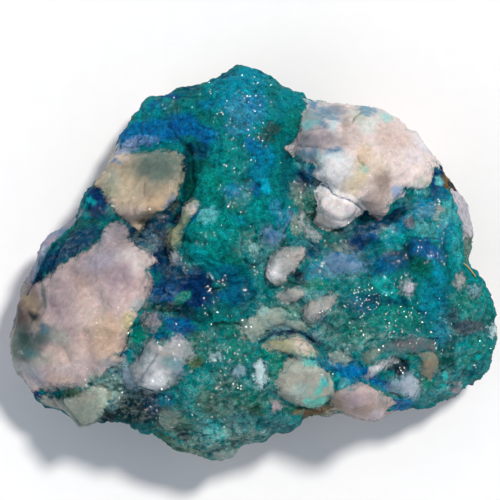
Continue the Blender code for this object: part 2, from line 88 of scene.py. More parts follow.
# The pieces of quartz seen on the face: colour, rise above the copper minerals in mm, softness of the
# edge in mm, how clear of copper minerals it is, and its edge in mm.
quartzPieces = {
    "left boulder": ("roseGrey", 0.5, 0.8, 1, [
        (-32.1, 8.8), (-30.5, 9.3), (-28.7, 8.4), (-27.6, 7.3), (-27.8, 5.4), (-26.6, 4.3),
        (-25.3, 3.4), (-23.5, 2.7), (-21.7, 1.4), (-21.4, 0), (-23, -0.9), (-23.7, -2), (-22.6, -3.6),
        (-22.3, -5.2), (-23.2, -6.8), (-23.5, -8.2), (-24.2, -9.8), (-25.7, -10.9), (-25.3, -12.2),
        (-26.4, -12.9), (-26.6, -14.3), (-27.8, -15.9), (-28, -17.7), (-28.7, -19.3), (-30.1, -20.4),
        (-29.1, -21.8), (-30.7, -22.9), (-32.5, -23.8), (-33.5, -25.4), (-35.3, -26.3), (-37.1, -27.7),
        (-39.4, -28.1), (-42.5, -28.8), (-45.7, -29.3), (-48.4, -28.8), (-50, -29.5), (-52.5, -28.1),
        (-55.7, -25.4), (-56.6, -20), (-56.1, -15), (-54.5, -10.4), (-52.5, -6.8), (-50.2, -4.8),
        (-48.4, -4.8), (-46.6, -3.4), (-44.8, -2), (-43, -0.5), (-41.2, 0.5), (-39.4, 1.4),
        (-37.5, 2.3), (-35.7, 3.6), (-34.6, 4.8), (-33.7, 6.4), (-33, 7.7),
    ]),
    "lower wedge": ("oliveGrey", 0.4, 1.7, 0.85, [
        (-47.7, -29.9), (-45.7, -30.6), (-43.9, -31.1), (-41.6, -30.4), (-39.4, -29), (-37.1, -28.1),
        (-34.8, -27), (-33, -27.4), (-31.9, -29.5), (-32.5, -32), (-34.1, -34), (-35, -36.7),
        (-38, -38.6), (-40.3, -38.8), (-41.6, -36.3), (-44.3, -34.9), (-47.3, -33.6), (-48.9, -31.8),
    ]),
    "cream quartz": ("cream", 0.6, 1, 1, [
        (-32.5, 25.4), (-30.3, 26.1), (-28, 25.4), (-25.7, 24.9), (-23.5, 24.5), (-20.1, 24.9),
        (-17.1, 24.7), (-15.8, 23.4), (-15.3, 21.1), (-15.5, 18.8), (-16.4, 17), (-16.7, 15),
        (-17.8, 13.2), (-19.4, 11.8), (-21.2, 10.9), (-23.2, 10.4), (-24.4, 9.8), (-23.9, 8.2),
        (-25.3, 7.3), (-27.1, 7.7), (-28.7, 9.3), (-30.3, 10.4), (-31.2, 12.2), (-33, 14.1),
        (-33.9, 16.3), (-35.7, 17.2), (-36.6, 18.6), (-35.3, 20.4), (-33.9, 22.5),
    ]),
    "right block": ("pinkWhite", 0.5, 0.4, 1, [
        (7.1, 25.4), (9, 27), (10.3, 29), (10.5, 31.3), (10.8, 33.1), (12.1, 34.9), (11.9, 37.2),
        (12.6, 38.6), (15.5, 37.6), (20.8, 37.4), (26.6, 36.7), (30.5, 36.1), (32.3, 34.5), (35, 32.2),
        (38.2, 30.6), (40.5, 27.7), (41.6, 24.9), (41.4, 22.5), (40.5, 20.6), (40, 18.8), (39.1, 17),
        (37.3, 16.6), (35.5, 16.3), (34.1, 16.1), (33.7, 14.7), (32.3, 13.8), (30.7, 13.4), (30.1, 12),
        (29.4, 10.7), (28.2, 9.5), (27.1, 9.3), (26.4, 10.4), (25.1, 10.9), (24.2, 12), (23.7, 13.2),
        (22.1, 13.8), (19.8, 14.3), (17.8, 15), (16.7, 16.3), (14.9, 16.8), (14.4, 17.7), (13, 18.6),
        (12.8, 19.7), (14.4, 21.1), (13, 22), (11, 21.8), (9.9, 22.7), (8.7, 23.6), (7.6, 24.5),
    ]),
    "tooth": ("palePink", 0.3, 0.4, 1, [
        (13.5, 15.9), (14.4, 17.2), (15.8, 18.4), (17.6, 18.6), (19.2, 17.7), (21, 16.6), (22.8, 15.6),
        (24.6, 14.1), (25.3, 12.2), (23.9, 10.9), (23.2, 10), (22.3, 9.3), (20.8, 8.2), (18.9, 7.3),
        (16.4, 7), (14.4, 7.9), (13.3, 9.1), (13.9, 11.3), (13.9, 13.4), (13.3, 14.7),
    ]),
    "oblong pebble": ("pebbleGrey", 0.5, 1, 0.95, [
        (7.1, 3.6), (8.7, 3.4), (11.5, 3.6), (11.9, 1.8), (10.5, 0), (9.4, -1.6), (7.8, -2.9),
        (6.7, -4.3), (5.1, -5.2), (3.5, -4.5), (2.8, -2.7), (2.8, -0.7), (3.3, 1.1), (5.1, 2.5),
    ]),
    "oval pebble": ("pebbleGrey", 0.5, 1.1, 0.9, [
        (5.8, -6.8), (7.6, -5.7), (9.4, -5.2), (11, -5.9), (11.9, -7), (10.5, -8.2), (8.7, -9.3),
        (6.9, -9.1), (5.3, -7.9),
    ]),
    "pale cluster": ("sageGrey", 0.4, 1.4, 0.75, [
        (1.9, -9.3), (3.7, -10), (6.2, -10), (7.4, -10.9), (6.9, -12.2), (8.3, -12.9), (10.3, -12.5),
        (11.9, -13.6), (11.5, -15), (9.4, -15), (7.1, -14.5), (4.9, -14.7), (2.6, -15.6), (1, -16.8),
        (-0.3, -17.5), (-1.9, -16.8), (-2.8, -15.2), (-3.1, -13.6), (-1.5, -12.7), (0.3, -11.6),
        (1, -10.2),
    ]),
    "sugary lump": ("dustyGrey", 0.4, 1.5, 0.75, [
        (12.8, -8.6), (14.6, -7.7), (16.9, -6.4), (18.3, -7.3), (18, -9.1), (16.9, -10.4),
        (14.9, -11.8), (13.3, -13.4), (11.7, -13.4), (10.5, -11.8), (11.2, -10.2),
    ]),
    "upper chip": ("coolGrey", 0.3, 1.7, 0.6, [
        (9.9, 10.4), (11.2, 11.3), (11.9, 10), (11.7, 9.1), (13.3, 7.7), (14.9, 5.9), (14.4, 5),
        (12.8, 5.2), (11.7, 6.8), (10.5, 7.7), (9.6, 9.1),
    ]),
    "wedge pebble": ("wedgeCream", 0.5, 0.8, 0.9, [
        (1.9, -18.4), (3.7, -17), (6, -16.6), (8.3, -16.1), (9.9, -16.1), (11.2, -17), (12.8, -18.6),
        (14.4, -20.2), (13.5, -21.5), (11.2, -21.1), (9.4, -20.4), (6, -20), (3.3, -19.7),
    ]),
    "round pebble": ("putty", 0.5, 1, 0.9, [
        (6.9, -22.2), (7.8, -21.3), (9.6, -20.9), (11.2, -20.9), (13.3, -22.5), (15.5, -23.6),
        (16.9, -25.2), (18, -27.2), (18.3, -29.5), (16.9, -31.3), (14.6, -32.4), (11.7, -32.2),
        (9, -31.5), (6.9, -30.4), (5.3, -28.6), (4.9, -26.1), (6, -24),
    ]),
    "little mauve chip": ("mauveGrey", 0.3, 1.1, 0.7, [
        (3.7, -30.8), (5.6, -30.6), (7.6, -31.8), (6, -32.9), (4.2, -33.3),
    ]),
    "pink pebble": ("dustyPink", 0.6, 0.6, 1, [
        (17.1, -29.3), (18.7, -28.4), (20.8, -27.7), (22.3, -27), (23.9, -26.5), (25.5, -27.2),
        (27.1, -28.1), (28.7, -29.3), (30.5, -30.2), (31.6, -31.3), (31.2, -33.1), (30.3, -35.4),
        (28.7, -37), (26, -37.4), (23, -36.3), (20.1, -35.2), (18.3, -33.6), (16.9, -31.8),
    ]),
    "grey chip high": ("greenGrey", 0.3, 1.1, 0.75, [
        (24.2, -20.6), (25.5, -19.3), (27.8, -18.8), (28.7, -19.5), (27.3, -21.1), (26, -22.7),
        (24.6, -22.5),
    ]),
    "grey chip low": ("coolGrey", 0.4, 1.1, 0.75, [
        (24.6, -25.4), (25.7, -23.6), (27.6, -22), (29.6, -21.1), (31.4, -20.9), (32.3, -22),
        (30.5, -23.1), (28.2, -24.3), (26.6, -25.9), (25.1, -26.3),
    ]),
    "blue-grey pebble": ("blueGrey", 0.5, 1.3, 0.8, [
        (29.8, -26.5), (31.6, -25.9), (33.9, -25.2), (35.5, -24.7), (37.1, -26.3), (38, -28.4),
        (37.3, -30.2), (35.5, -31.1), (33.2, -29.9), (31.2, -29.3), (29.8, -28.1),
    ]),
    "tan oval": ("tan", 0.5, 1.4, 0.7, [
        (37.3, -20.4), (38.7, -19.7), (40.3, -20.2), (41.4, -21.8), (41.6, -23.6), (40.9, -25.4),
        (39.6, -26.3), (38, -25.9), (37.3, -24.5), (37.8, -22.7),
    ]),
    "smoky ridge": ("smoke", 0.3, 1.7, 0.6, [
        (32.5, -17.2), (34.4, -16.6), (37.3, -16.6), (40, -17.2), (41.4, -18.6), (40.9, -20.2),
        (38.7, -20), (35.9, -20.4), (33.2, -20.4), (31.4, -19.7), (29.6, -19.7), (28.7, -18.8),
        (30.5, -18.1),
    ]),
    "long bar": ("khaki", 0.6, 1.1, 0.75, [
        (-12.1, 13.6), (-13.3, 14.1), (-14.6, 12.9), (-15.5, 11.3), (-16.9, 9.5), (-18.3, 7.7),
        (-18.9, 6.1), (-18.7, 4.3), (-18, 2.7), (-17.1, 2.7), (-16.2, 4.3), (-16, 6.1), (-14.9, 8.2),
        (-13.5, 10.2), (-12.4, 11.8),
    ]),
    "bar foot chip": ("coolGrey", 0.4, 1.1, 0.8, [
        (-18.5, 2.3), (-17.4, 2.7), (-16.4, 1.8), (-16.7, 0.2), (-17.8, -0.7), (-18.7, 0.2),
    ]),
    "chip in the navy": ("mauveGrey", 0.3, 1.4, 0.6, [
        (-21.2, 11.1), (-19.8, 11.1), (-19.4, 9.8), (-20.5, 9.1), (-21.7, 9.8),
    ]),
    "lower chip in the navy": ("smoke", 0.2, 1.4, 0.5, [
        (-21, 6.6), (-19.4, 6.8), (-18.9, 5.4), (-19.8, 4.5), (-21, 5.2),
    ]),
    "drusy quartz": ("druseGrey", 0.6, 1.7, 0.85, [
        (-23.5, -16.6), (-21.7, -17), (-20.1, -17.7), (-18.3, -17), (-16.2, -15.9), (-14.4, -17.2),
        (-13.3, -18.8), (-13, -20.4), (-14.4, -21.3), (-15.5, -22.9), (-15.3, -24.9), (-16.9, -26.5),
        (-18.7, -27.9), (-20.5, -28.6), (-22.3, -29.3), (-24.2, -29.3), (-25.3, -27.7), (-26.4, -26.3),
        (-27.6, -24.7), (-27.8, -23.1), (-26.2, -21.5), (-24.6, -20), (-23.9, -18.1),
    ]),
    "mauve chip": ("mauveGrey", 0.4, 1.4, 0.6, [
        (-23.9, -11.6), (-22.1, -11.1), (-20.8, -12.2), (-20.5, -14.1), (-21.7, -15.4), (-23.5, -15.4),
        (-24.4, -13.6),
    ]),
    "pale foot": ("blueGrey", 0.2, 1.7, 0.5, [
        (-28.5, -23.6), (-26.9, -23.6), (-25.7, -25.4), (-25.1, -27.7), (-26.2, -29), (-28, -28.6),
        (-29.1, -26.8), (-29.4, -24.7),
    ]),
    "grey clast": ("greenGrey", 0.3, 1.7, 0.5, [
        (-21, -33.6), (-19.4, -32.2), (-17.4, -32.4), (-16.2, -34), (-16.7, -36.1), (-18, -37.6),
        (-20.1, -37.6), (-21.2, -36.1),
    ]),
    "small pale chip": ("blueGrey", 0.3, 1.4, 0.55, [
        (-4.6, -23.1), (-3.1, -22.5), (-1.7, -23.6), (-2.2, -25.2), (-3.7, -25.6), (-4.9, -24.7),
    ]),
    "bright chip": ("ice", 0.5, 1.4, 0.75, [
        (-0.1, -22.7), (1.5, -21.5), (2.8, -22.5), (3.3, -24.5), (3.1, -26.8), (1.9, -28.1),
        (0.6, -26.8), (-0.1, -24.7),
    ]),
    "ice chip": ("ice", 0.2, 1.7, 0.5, [
        (-9.6, -20.4), (-8.3, -19.7), (-7.1, -20.4), (-7.4, -21.5), (-9, -21.8),
    ]),
    "rim quartz": ("rimGrey", 0.3, 1.4, 0.6, [
        (-9.4, -42.9), (-7.1, -42.2), (-4.4, -42.6), (-3.5, -44.5), (-6.2, -46.3), (-9, -45.4),
    ]),
    "blue ledge": ("lavenderBlue", 0.3, 2.8, 0.3, [
        (16.2, 2.5), (18.5, 2.7), (20.8, 2), (23.2, 1.4), (24.6, -0.2), (24.2, -2), (21.9, -3.2),
        (19.6, -2.9), (17.4, -1.8), (16.2, 0),
    ]),
    "cool ledge": ("greenGrey", 0.3, 2.1, 0.5, [
        (17.6, 3.4), (19.6, 3.9), (21.7, 3.2), (21.4, 1.8), (19.2, 1.4), (17.6, 2),
    ]),
    "whitish chip": ("lilacWhite", 0.3, 1.4, 0.55, [
        (33.5, -4.8), (34.8, -3.9), (35.9, -5), (35.7, -6.8), (34.4, -7.3), (33.2, -6.4),
    ]),
    "pinkish chip": ("dustyGrey", 0.2, 1.4, 0.5, [
        (40.3, 12.2), (41.8, 12.7), (42.5, 11.1), (41.8, 9.8), (40.5, 10),
    ]),
    "right pebble": ("dustyGrey", 0.4, 1.4, 0.6, [
        (45, -3.2), (46.4, -2.3), (47.5, -3.2), (47.3, -5.2), (46.2, -6.4), (45, -5.2),
    ]),
    "pale right chip": ("blueGrey", 0.3, 1.7, 0.5, [
        (48.2, -5.4), (49.8, -5), (51.1, -6.1), (50.7, -7.7), (48.9, -7.7), (48, -6.6),
    ]),
    "buff chip": ("sageGrey", 0.4, 1.4, 0.65, [
        (16.7, -20.4), (18.7, -19.7), (21, -20.2), (21.7, -21.8), (20.5, -22.7), (18.3, -22.7),
        (16.9, -21.8),
    ]),
    "edge chip": ("ice", 0.2, 1.4, 0.6, [
        (53, -14.5), (54.5, -13.6), (55.7, -15.4), (55.2, -17.2), (53.4, -16.8),
    ]),
    "low mauve chip": ("mauveGrey", 0.3, 1.7, 0.5, [
        (44.8, -27.7), (46.4, -27.2), (47.7, -28.4), (47.5, -30.8), (45.2, -30.8), (44.3, -29.3),
    ]),
    "aqua-white chip": ("paleAqua", 0.3, 1.4, 0.6, [
        (-0.8, 4.3), (0.8, 4.3), (1.2, 2.9), (0.3, 1.8), (-1, 2),
    ]),
    "blue swell": ("lavenderBlue", 0.3, 2.8, 0.3, [
        (2.2, 7.7), (3.7, 8.2), (5.6, 7.3), (6.7, 5.4), (5.3, 3.6), (3.3, 3.6), (1.9, 5),
    ]),
    "grey window": ("greenGrey", 0.2, 1.7, 0.5, [
        (8.1, 16.8), (9.4, 17.2), (10.5, 16.1), (9.9, 14.7), (8.3, 15),
    ]),
    # its colour is painted shade: the bluish shade of the stone's left side
    "left rim strip": ("lilac", 0.3, 0.5, 0.95, [
        (-38.4, 11.6), (-39.8, 9.3), (-42.1, 7.3), (-44.8, 4.8), (-46.8, 1.6), (-48.2, -0.9),
        (-49.3, -3.4), (-50.9, -5.9), (-52.3, -8.6), (-53.4, -12.2), (-54.8, -16.3), (-57.5, -16.3),
        (-57, -12.2), (-55.7, -7.7), (-54.3, -4.5), (-52.1, -0.9), (-51.1, 2.7), (-48.4, 6.4),
        (-44.3, 10), (-40.7, 12.7),
    ]),
    "right rim strip": ("lilacWhite", 0.2, 0.5, 0.9, [
        (44.3, 16.6), (45.7, 14.7), (46.6, 12.7), (47.1, 10.9), (47.3, 8.6), (47.5, 6.8), (48.6, 5.9),
        (51.4, 6.4), (51.4, 11.3), (49.6, 15), (47.3, 17.7), (45, 18.1),
    ]),
    "fleck in the pocket": ("mauveGrey", 0.2, 1.1, 0.7, [
        (-25.7, -7.9), (-24.4, -8.2), (-23.5, -9.3), (-24.2, -10.4), (-25.7, -10.2), (-26.4, -9.1),
    ]),
    "small fleck": ("lavenderGrey", 0.2, 1.1, 0.6, [
        (-23.5, -11.6), (-22.3, -11.8), (-22.1, -12.9), (-23.2, -13.2),
    ]),
}

# Patches of copper mineral, in the order they are laid: colour, x, y, half length and half width in mm,
# turn in degrees, strength.
mineralPatches = [
    ("seaGreen", -23.5, 34.9, 6.4, 2.3, 33, 1), ("seaGreen", -26.9, 32.9, 2, 1.1, 40, 1),
    ("teal", -13.3, 36.5, 5.4, 2.5, 18, 0.9), ("deepBlue", -18.5, 37.9, 2.5, 0.8, -18, 0.9),
    ("deepTeal", -15.3, 38.1, 1.8, 1.4, -30, 0.8), ("deepBlue", -22.1, 35.8, 2, 0.6, 35, 0.6),
    ("navy", -7.1, 42.4, 2.9, 1.1, 33, 1), ("navy", -14.4, 39.9, 2.3, 0.9, 25, 0.7),
    ("navy", -21.2, 37.4, 2, 0.7, 35, 0.6), ("blueTeal", -1.9, 41.7, 5.4, 2.9, 0, 1),
    ("blueTeal", -8.7, 39.5, 2.7, 1.4, 30, 0.6), ("denim", -24.2, 29, 8.2, 2.9, 8, 1),
    ("mistBlue", -25.7, 27.2, 3.6, 1.1, 5, 0.4), ("denim", -10.3, 35.4, 1.8, 1.4, 0, 0.6),
    ("denimBright", -15.3, 30.6, 4.3, 2.5, -12, 1), ("denimBright", -10.3, 28.1, 3.2, 2, -30, 0.9),
    ("mistBlue", -28.5, 26.1, 3.2, 1.1, 0, 0.8), ("darkGreen", -10.8, 31.5, 2.7, 0.9, -25, 0.7),
    ("deepDenim", -18.5, 28.6, 2.7, 1.1, -35, 0.6), ("night", -14.4, 22, 1.6, 4.5, -8, 0.9),
    ("nightBlue", -11.2, 24.7, 3.6, 1.8, 0, 0.9), ("darkMoss", -10.5, 21.8, 2.7, 1.1, 5, 0.8),
    ("darkMoss", -13.9, 17, 1.4, 3.9, -8, 0.85), ("night", -15.3, 15, 0.9, 3.2, 20, 0.7),
    ("blueTeal", -3.1, 37.6, 5.9, 3.4, 10, 0.9), ("steel", -1.5, 34, 5.4, 3.6, -10, 0.85),
    ("steel", -3.5, 29.9, 3.2, 2.3, 0, 0.7), ("denim", 1, 35.8, 2.3, 1.8, 0, 0.5),
    ("teal", 7.6, 35.2, 3.9, 4.5, -20, 1), ("tealGreen", 8.7, 36.7, 1.8, 2.7, -20, 0.5),
    ("blueTeal", 8.3, 35.4, 3.4, 3.6, -20, 0.5), ("green", 9.2, 31.8, 2.3, 3.2, -10, 0.8),
    ("rustyDark", 4.2, 29.7, 2, 1.4, 20, 0.85), ("rustyDark", 2.8, 27.4, 1.8, 1.4, -20, 0.7),
    ("deepDenim", -0.3, 26.1, 2, 1.8, 0, 0.9), ("seaGreen", -6.2, 23.6, 3.2, 4.5, 10, 0.8),
    ("tealGreen", -9.4, 17, 3.2, 4.5, 0, 0.9), ("ocean", 1.9, 23.6, 2.7, 3.2, 0, 0.8),
    ("ocean", 0.6, 19.1, 2.3, 2.7, 0, 0.6), ("cyan", 2.8, 16.3, 1, 1.6, 0, 1),
    ("deepDenim", 0.6, 16.1, 1.4, 1.4, 0, 0.8), ("ocean", -4.9, 16.1, 2, 1.6, 0, 0.8),
    ("seaGreen", -3.1, 20.9, 3.2, 1.1, 20, 0.5), ("cyan", -4, 9.3, 2, 1, -10, 0.9),
    ("seaGreen", 1.9, 11.6, 2.5, 1.8, 0, 0.9), ("jade", -8.1, 6.6, 5.4, 5.4, 0, 0.95),
    ("seaGreen", -6.7, 5, 2.3, 2.7, 20, 0.8), ("jade", -9.2, 9.1, 2.7, 1.4, 20, 0.7),
    ("paleSea", -10.5, 10.4, 2.3, 2, 0, 0.75), ("denim", -13, 10.7, 0.8, 2, -15, 0.9),
    ("aquaTeal", -10.8, 0.7, 3.2, 1.4, -32, 0.9), ("green", -4.4, 0.9, 2, 2.7, 0, 0.8),
    ("mossTeal", -1.7, 6.6, 1.8, 3.6, -10, 0.7), ("mossTeal", -7.6, 13.4, 1.1, 2.3, 0, 0.5),
    ("deepGreen", -3.7, 12.2, 2, 1.4, 0, 0.5), ("deepTeal", 7.4, 20.4, 1.4, 6.4, -2, 0.8),
    ("inkBlue", 11.7, 19.1, 2.5, 2.5, 0, 0.95), ("inkBlue", 10.3, 16.3, 1.8, 1.4, 0, 0.7),
    ("deepGreen", 11.7, 12.9, 2.3, 2.9, 0, 0.9), ("greenGrey", 9.6, 13.6, 0.7, 1.4, 0, 0.6),
    ("steel", 4.9, 12.2, 1.6, 1.6, 0, 0.8), ("steel", 7.1, 10, 2.3, 1.8, 30, 0.7),
    ("greenGrey", 9.2, 8.2, 1.4, 2.7, 15, 0.8), ("slateTeal", 10.5, 4.5, 3.6, 1.1, 10, 0.9),
    ("slateTeal", 0.8, -0.5, 2.5, 3.4, -10, 0.8), ("seaGreen", 2.4, -2.3, 0.9, 2.7, 0, 0.5),
    ("deepGreen", 6.2, 4.3, 1.8, 0.7, 45, 0.9), ("ink", 10.1, -3.2, 2, 1.4, -30, 1),
    ("green", 7.6, -4.1, 2, 0.9, 5, 0.9), ("inkBlue", 13.3, 2.7, 2, 2, 0, 0.8),
    ("steel", 15.1, -1.8, 3.6, 2, 10, 0.8), ("lavenderSteel", 20.1, 0, 3.6, 2.5, 0, 0.5),
    ("emerald", 13.9, -5, 2.7, 1.4, 10, 0.9), ("paleSea", 13.3, -7.3, 2.3, 1.4, 20, 0.6),
    ("navy", -35.3, 12.9, 4.5, 3.6, 30, 1), ("navy", -35.9, 15.6, 2, 1.6, 40, 1),
    ("aquaTeal", -36.6, 13.8, 1.6, 0.8, -20, 0.9), ("jade", -38.4, 11.3, 0.9, 2, -20, 0.9),
    ("aquaTeal", -37.3, 9.8, 1.4, 0.7, 0, 0.8), ("slateTeal", -33.2, 16.3, 1.1, 1.6, 20, 0.8),
    ("slateTeal", -31.6, 11.3, 1.4, 1.8, 0, 0.8), ("inkTeal", -38, 5.9, 6.4, 3.2, 38, 1),
    ("mossTeal", -36.6, 8.2, 4.1, 1.1, 5, 0.7), ("inkBlue", -39.4, 4.3, 5.4, 2, 38, 1),
    ("inkBlue", -44.8, 0.5, 4.1, 2, 45, 1), ("inkBlue", -48.9, -4.1, 3.2, 1.6, 55, 1),
    ("jade", -40.7, 8.2, 1.1, 0.7, 45, 0.7), ("ink", -48.4, -4.1, 2.7, 0.7, 62, 0.9),
    ("ink", -51.1, -7.9, 2, 0.7, 62, 0.8), ("inkBlue", -23.9, 6.4, 5, 3.2, -10, 1),
    ("ink", -25.7, 6.4, 1.8, 1.6, 0, 0.9), ("inkBlue", -20.1, 3.2, 2, 5.9, 10, 1),
    ("ink", -18.9, 3.9, 1.1, 3.2, 0, 0.7), ("inkBlue", -17.8, 10.7, 2.7, 1.8, 45, 1),
    ("navy", -12.1, -6.4, 10.9, 5, 0, 1), ("inkBlue", -17.6, -1.4, 2.7, 3.2, 20, 0.8),
    ("deepBlue", -19.8, -6.8, 2.9, 2.5, 0, 0.9), ("peacock", -4.9, -6.6, 4.1, 3.2, 0, 0.7),
    ("ocean", -5.8, -7, 2.7, 1.8, 0, 0.4), ("inkGreen", -19.4, -10, 4.5, 1.4, 0, 0.9),
    ("ink", -13.9, -11.8, 4.5, 1.4, -10, 0.8), ("emeraldGrey", -15.8, -7.5, 2, 1.1, 40, 0.9),
    ("emerald", -7.6, -5, 1.8, 1.6, 0, 0.6), ("peacock", -6.7, -2.3, 3.6, 2, 0, 0.8),
    ("green", -8.1, -10.9, 4.5, 2, 0, 0.5), ("peacock", -21.2, -12.2, 1.8, 1.4, 0, 0.9),
    ("deepBlue", -16, -14.3, 3.6, 1.8, -10, 0.9), ("peacock", -20.3, -16.3, 2.3, 0.9, 0, 1),
    ("ink", -12.8, -18.4, 0.7, 1.4, 0, 1), ("emerald", -25.3, -16.8, 2, 1.4, -20, 0.95),
    ("slateTeal", -25.5, -19.7, 2.3, 1.8, 45, 0.9), ("peacock", -28.7, -20.2, 1.8, 0.9, 45, 1),
    ("blueGrey", -27.6, -25.4, 2.3, 2.3, 0, 0.8), ("peacock", -31.2, -24.5, 1.6, 0.9, -20, 0.9),
    ("seaMist", -31.2, -27.9, 2.3, 3.4, 0, 0.9), ("seaMist", -33.9, -24.9, 2, 0.9, 30, 0.5),
    ("peacock", -30.3, -31.8, 1.8, 1.6, 0, 0.9), ("blackTeal", -26.2, -33.1, 5.9, 4.3, 0, 1),
    ("blackTeal", -32.1, -34.7, 2.7, 1.6, 10, 1), ("inkBlue", -22.1, -31.3, 2, 2.9, 0, 0.8),
    ("inkTeal", -25.3, -29.5, 2.7, 1.4, 0, 0.8), ("teal", -16.2, -29.3, 5, 2.9, 0, 1),
    ("seaGreen", -13, -26.8, 3.6, 2.7, 10, 0.8), ("ocean", -19.4, -30.4, 1.8, 1.4, 0, 0.6),
    ("aquaTeal", -12.4, -32.2, 1.8, 2, -30, 0.8), ("oliveTeal", -16.7, -36.7, 3.2, 2.7, 0, 0.8),
    ("olive", -13, -21.8, 2, 1.8, 0, 0.95), ("moss", -12.8, -16.6, 1.4, 1.8, 0, 0.7),
    ("mossTeal", -10.8, -15.4, 1.8, 2.3, 0, 0.6), ("darkMoss", -7.1, -14.1, 2.7, 1.1, 0, 0.7),
    ("green", -4.6, -16.1, 2.5, 2.7, 0, 0.9), ("teal", -8.1, -19.3, 3.2, 3.2, 0, 0.6),
    ("emerald", -3.1, -20, 3.2, 2.3, 0, 0.6), ("oliveTeal", -6.2, -32.4, 6.8, 3.2, 0, 0.6),
    ("moss", -11, -30.2, 1.8, 3.2, 0, 0.6), ("mossTeal", -7.4, -26.1, 1.8, 2.7, 0, 0.9),
    ("darkMoss", -4.9, -27.4, 2.3, 2.3, 0, 0.6), ("mossTeal", -5.8, -30.4, 4.5, 2.3, 0, 0.8),
    ("deepGreen", -0.3, -30.4, 4.1, 2, 5, 0.8), ("moss", -0.3, -33.3, 2.7, 1.4, 0, 0.8),
    ("darkMoss", -9.2, -31.3, 1.1, 2.7, 0, 0.7), ("aquaTeal", -9.4, -35.8, 2, 1.1, 20, 0.7),
    ("aquaBright", -8.3, -37.9, 2.9, 1.6, -10, 0.85), ("slateTeal", -3.1, -35.2, 3.6, 2.3, 0, 0.8),
    ("teal", -0.3, -37.4, 1.8, 1.1, 0, 0.5), ("mossTeal", -14.4, -39.9, 2.7, 1.4, -20, 0.8),
    ("ink", -15.8, -39, 2, 1.4, -25, 0.8), ("moss", -15.5, -42.2, 5.9, 1.1, -18, 0.8),
    ("moss", -20.1, -39, 2.7, 0.9, -40, 0.8), ("mossTeal", -3.1, -39.9, 5, 1.8, 15, 0.8),
    ("slateTeal", 4.2, -36.1, 3.6, 2.5, 20, 0.8), ("deepGreen", 8.7, -32.9, 2.7, 1.1, 0, 0.95),
    ("slateTeal", 7.6, -35.8, 1.8, 2, 0, 0.8), ("emerald", 5.1, -23.1, 1.6, 3.6, -5, 0.95),
    ("emerald", 2.8, -20.4, 1.8, 1.1, 0, 0.8), ("green", 8.7, -10.2, 2.9, 0.9, -25, 0.9),
    ("emerald", 8.3, -11.3, 1.4, 1.4, 0, 0.7), ("steel", 6.9, -14.3, 3.2, 1.1, -5, 0.8),
    ("inkBlue", 7.1, -15.6, 5.4, 0.6, 3, 0.9), ("inkBlue", 13.7, -16.8, 2.3, 1.6, -30, 0.8),
    ("inkBlue", 14.6, -12.2, 1.6, 1.4, 0, 0.8), ("slateTeal", 16.2, -15.4, 2.7, 1.8, 0, 0.7),
    ("steelTeal", 17.4, -22.7, 5.9, 1.8, 0, 0.9), ("aquaBright", 18.3, -25.4, 1.4, 0.9, 0, 0.9),
    ("steelBlue", 21.9, -24.5, 4.1, 1.6, -8, 1), ("steelBlue", 28, -26.5, 3.4, 1.1, -28, 1),
    ("teal", 29.4, -25.2, 1.6, 1.6, 0, 0.9), ("steelBlue", 32.8, -32, 3.6, 1.6, 0, 1),
    ("ocean", 34.4, -31.3, 1.8, 1.1, 0, 0.5), ("ink", 32.8, -23.8, 1.8, 2, 0, 1),
    ("ink", 31, -23.6, 1.6, 0.9, 0, 0.8), ("mossTeal", 22.3, -14.3, 6.4, 4.1, 0, 0.8),
    ("emerald", 22.3, -16.3, 3.2, 1.8, 0, 0.5), ("teal", 19.6, -6.6, 2.7, 2.3, 0, 0.8),
    ("jade", 30.5, -12.2, 5.9, 3.2, 0, 0.95), ("green", 34.4, -13.6, 2.7, 2.3, 0, 0.7),
    ("peacock", 24.2, -9.3, 3.6, 2.3, 0, 0.7), ("inkBlue", 26.9, -8.2, 2.3, 1.4, 0, 0.6),
    ("navy", 31.4, -8.6, 2.7, 0.9, 0, 0.7), ("turquoise", 29.6, -5.9, 3.4, 1.6, -35, 0.75),
    ("turquoise", 27.8, -3.6, 1.8, 1.1, 0, 0.7), ("inkBlue", 23.7, 5.9, 5.4, 3.6, 15, 1),
    ("deepBlue", 26, 6.8, 2.3, 2, 0, 0.6), ("navy", 22.3, 4.3, 2.7, 2, 0, 0.7),
    ("deepTeal", 27.6, 2.7, 2.7, 2, 0, 0.6), ("inkTeal", 33.7, 1.4, 3.6, 3.6, 10, 1),
    ("inkBlue", 29.8, 0, 2.7, 1.8, 20, 0.7), ("turquoiseDeep", 30.5, 5.4, 2.7, 2.5, -30, 0.95),
    ("aquaTeal", 32.1, 4.3, 1.1, 1.6, -30, 0.7), ("ocean", 33.2, 9.1, 2.7, 2.3, 0, 0.6),
    ("rosyStain", 34.6, 8.8, 1.4, 1.4, 0, 0.9), ("peacock", 26.9, -0.7, 4.5, 2.3, 0, 0.7),
    ("tealMist", 38.7, 7, 3.6, 1.8, -5, 0.9), ("ocean", 37.8, 12.2, 2.9, 2.7, 0, 0.85),
    ("slateTeal", 33.7, 13.8, 2, 2, 0, 0.95), ("paleSea", 37.8, 16.1, 2.3, 0.9, -5, 0.8),
    ("cobalt", 38.9, 2.5, 3.9, 2.3, -28, 1), ("inkBlue", 35.9, 4.3, 1.8, 1.1, 0, 0.5),
    ("cyanDeep", 40.9, -2, 3.6, 1.1, -58, 1), ("deepGreen", 37.3, -0.9, 2.7, 2, -20, 0.9),
    ("tealMist", 44.3, 11.1, 2.7, 4.3, -15, 0.9), ("ocean", 43.2, 6.1, 2.3, 3.2, 0, 0.6),
    ("navy", 41.4, 17.5, 1.8, 3.9, -10, 1), ("peacock", 42.5, 15, 1.8, 1.8, 0, 0.8),
    ("amber", 43.7, 17.9, 1.4, 0.9, -40, 1), ("blackStainAndShade", 42.5, 20.4, 0.7, 1.4, 0, 1),
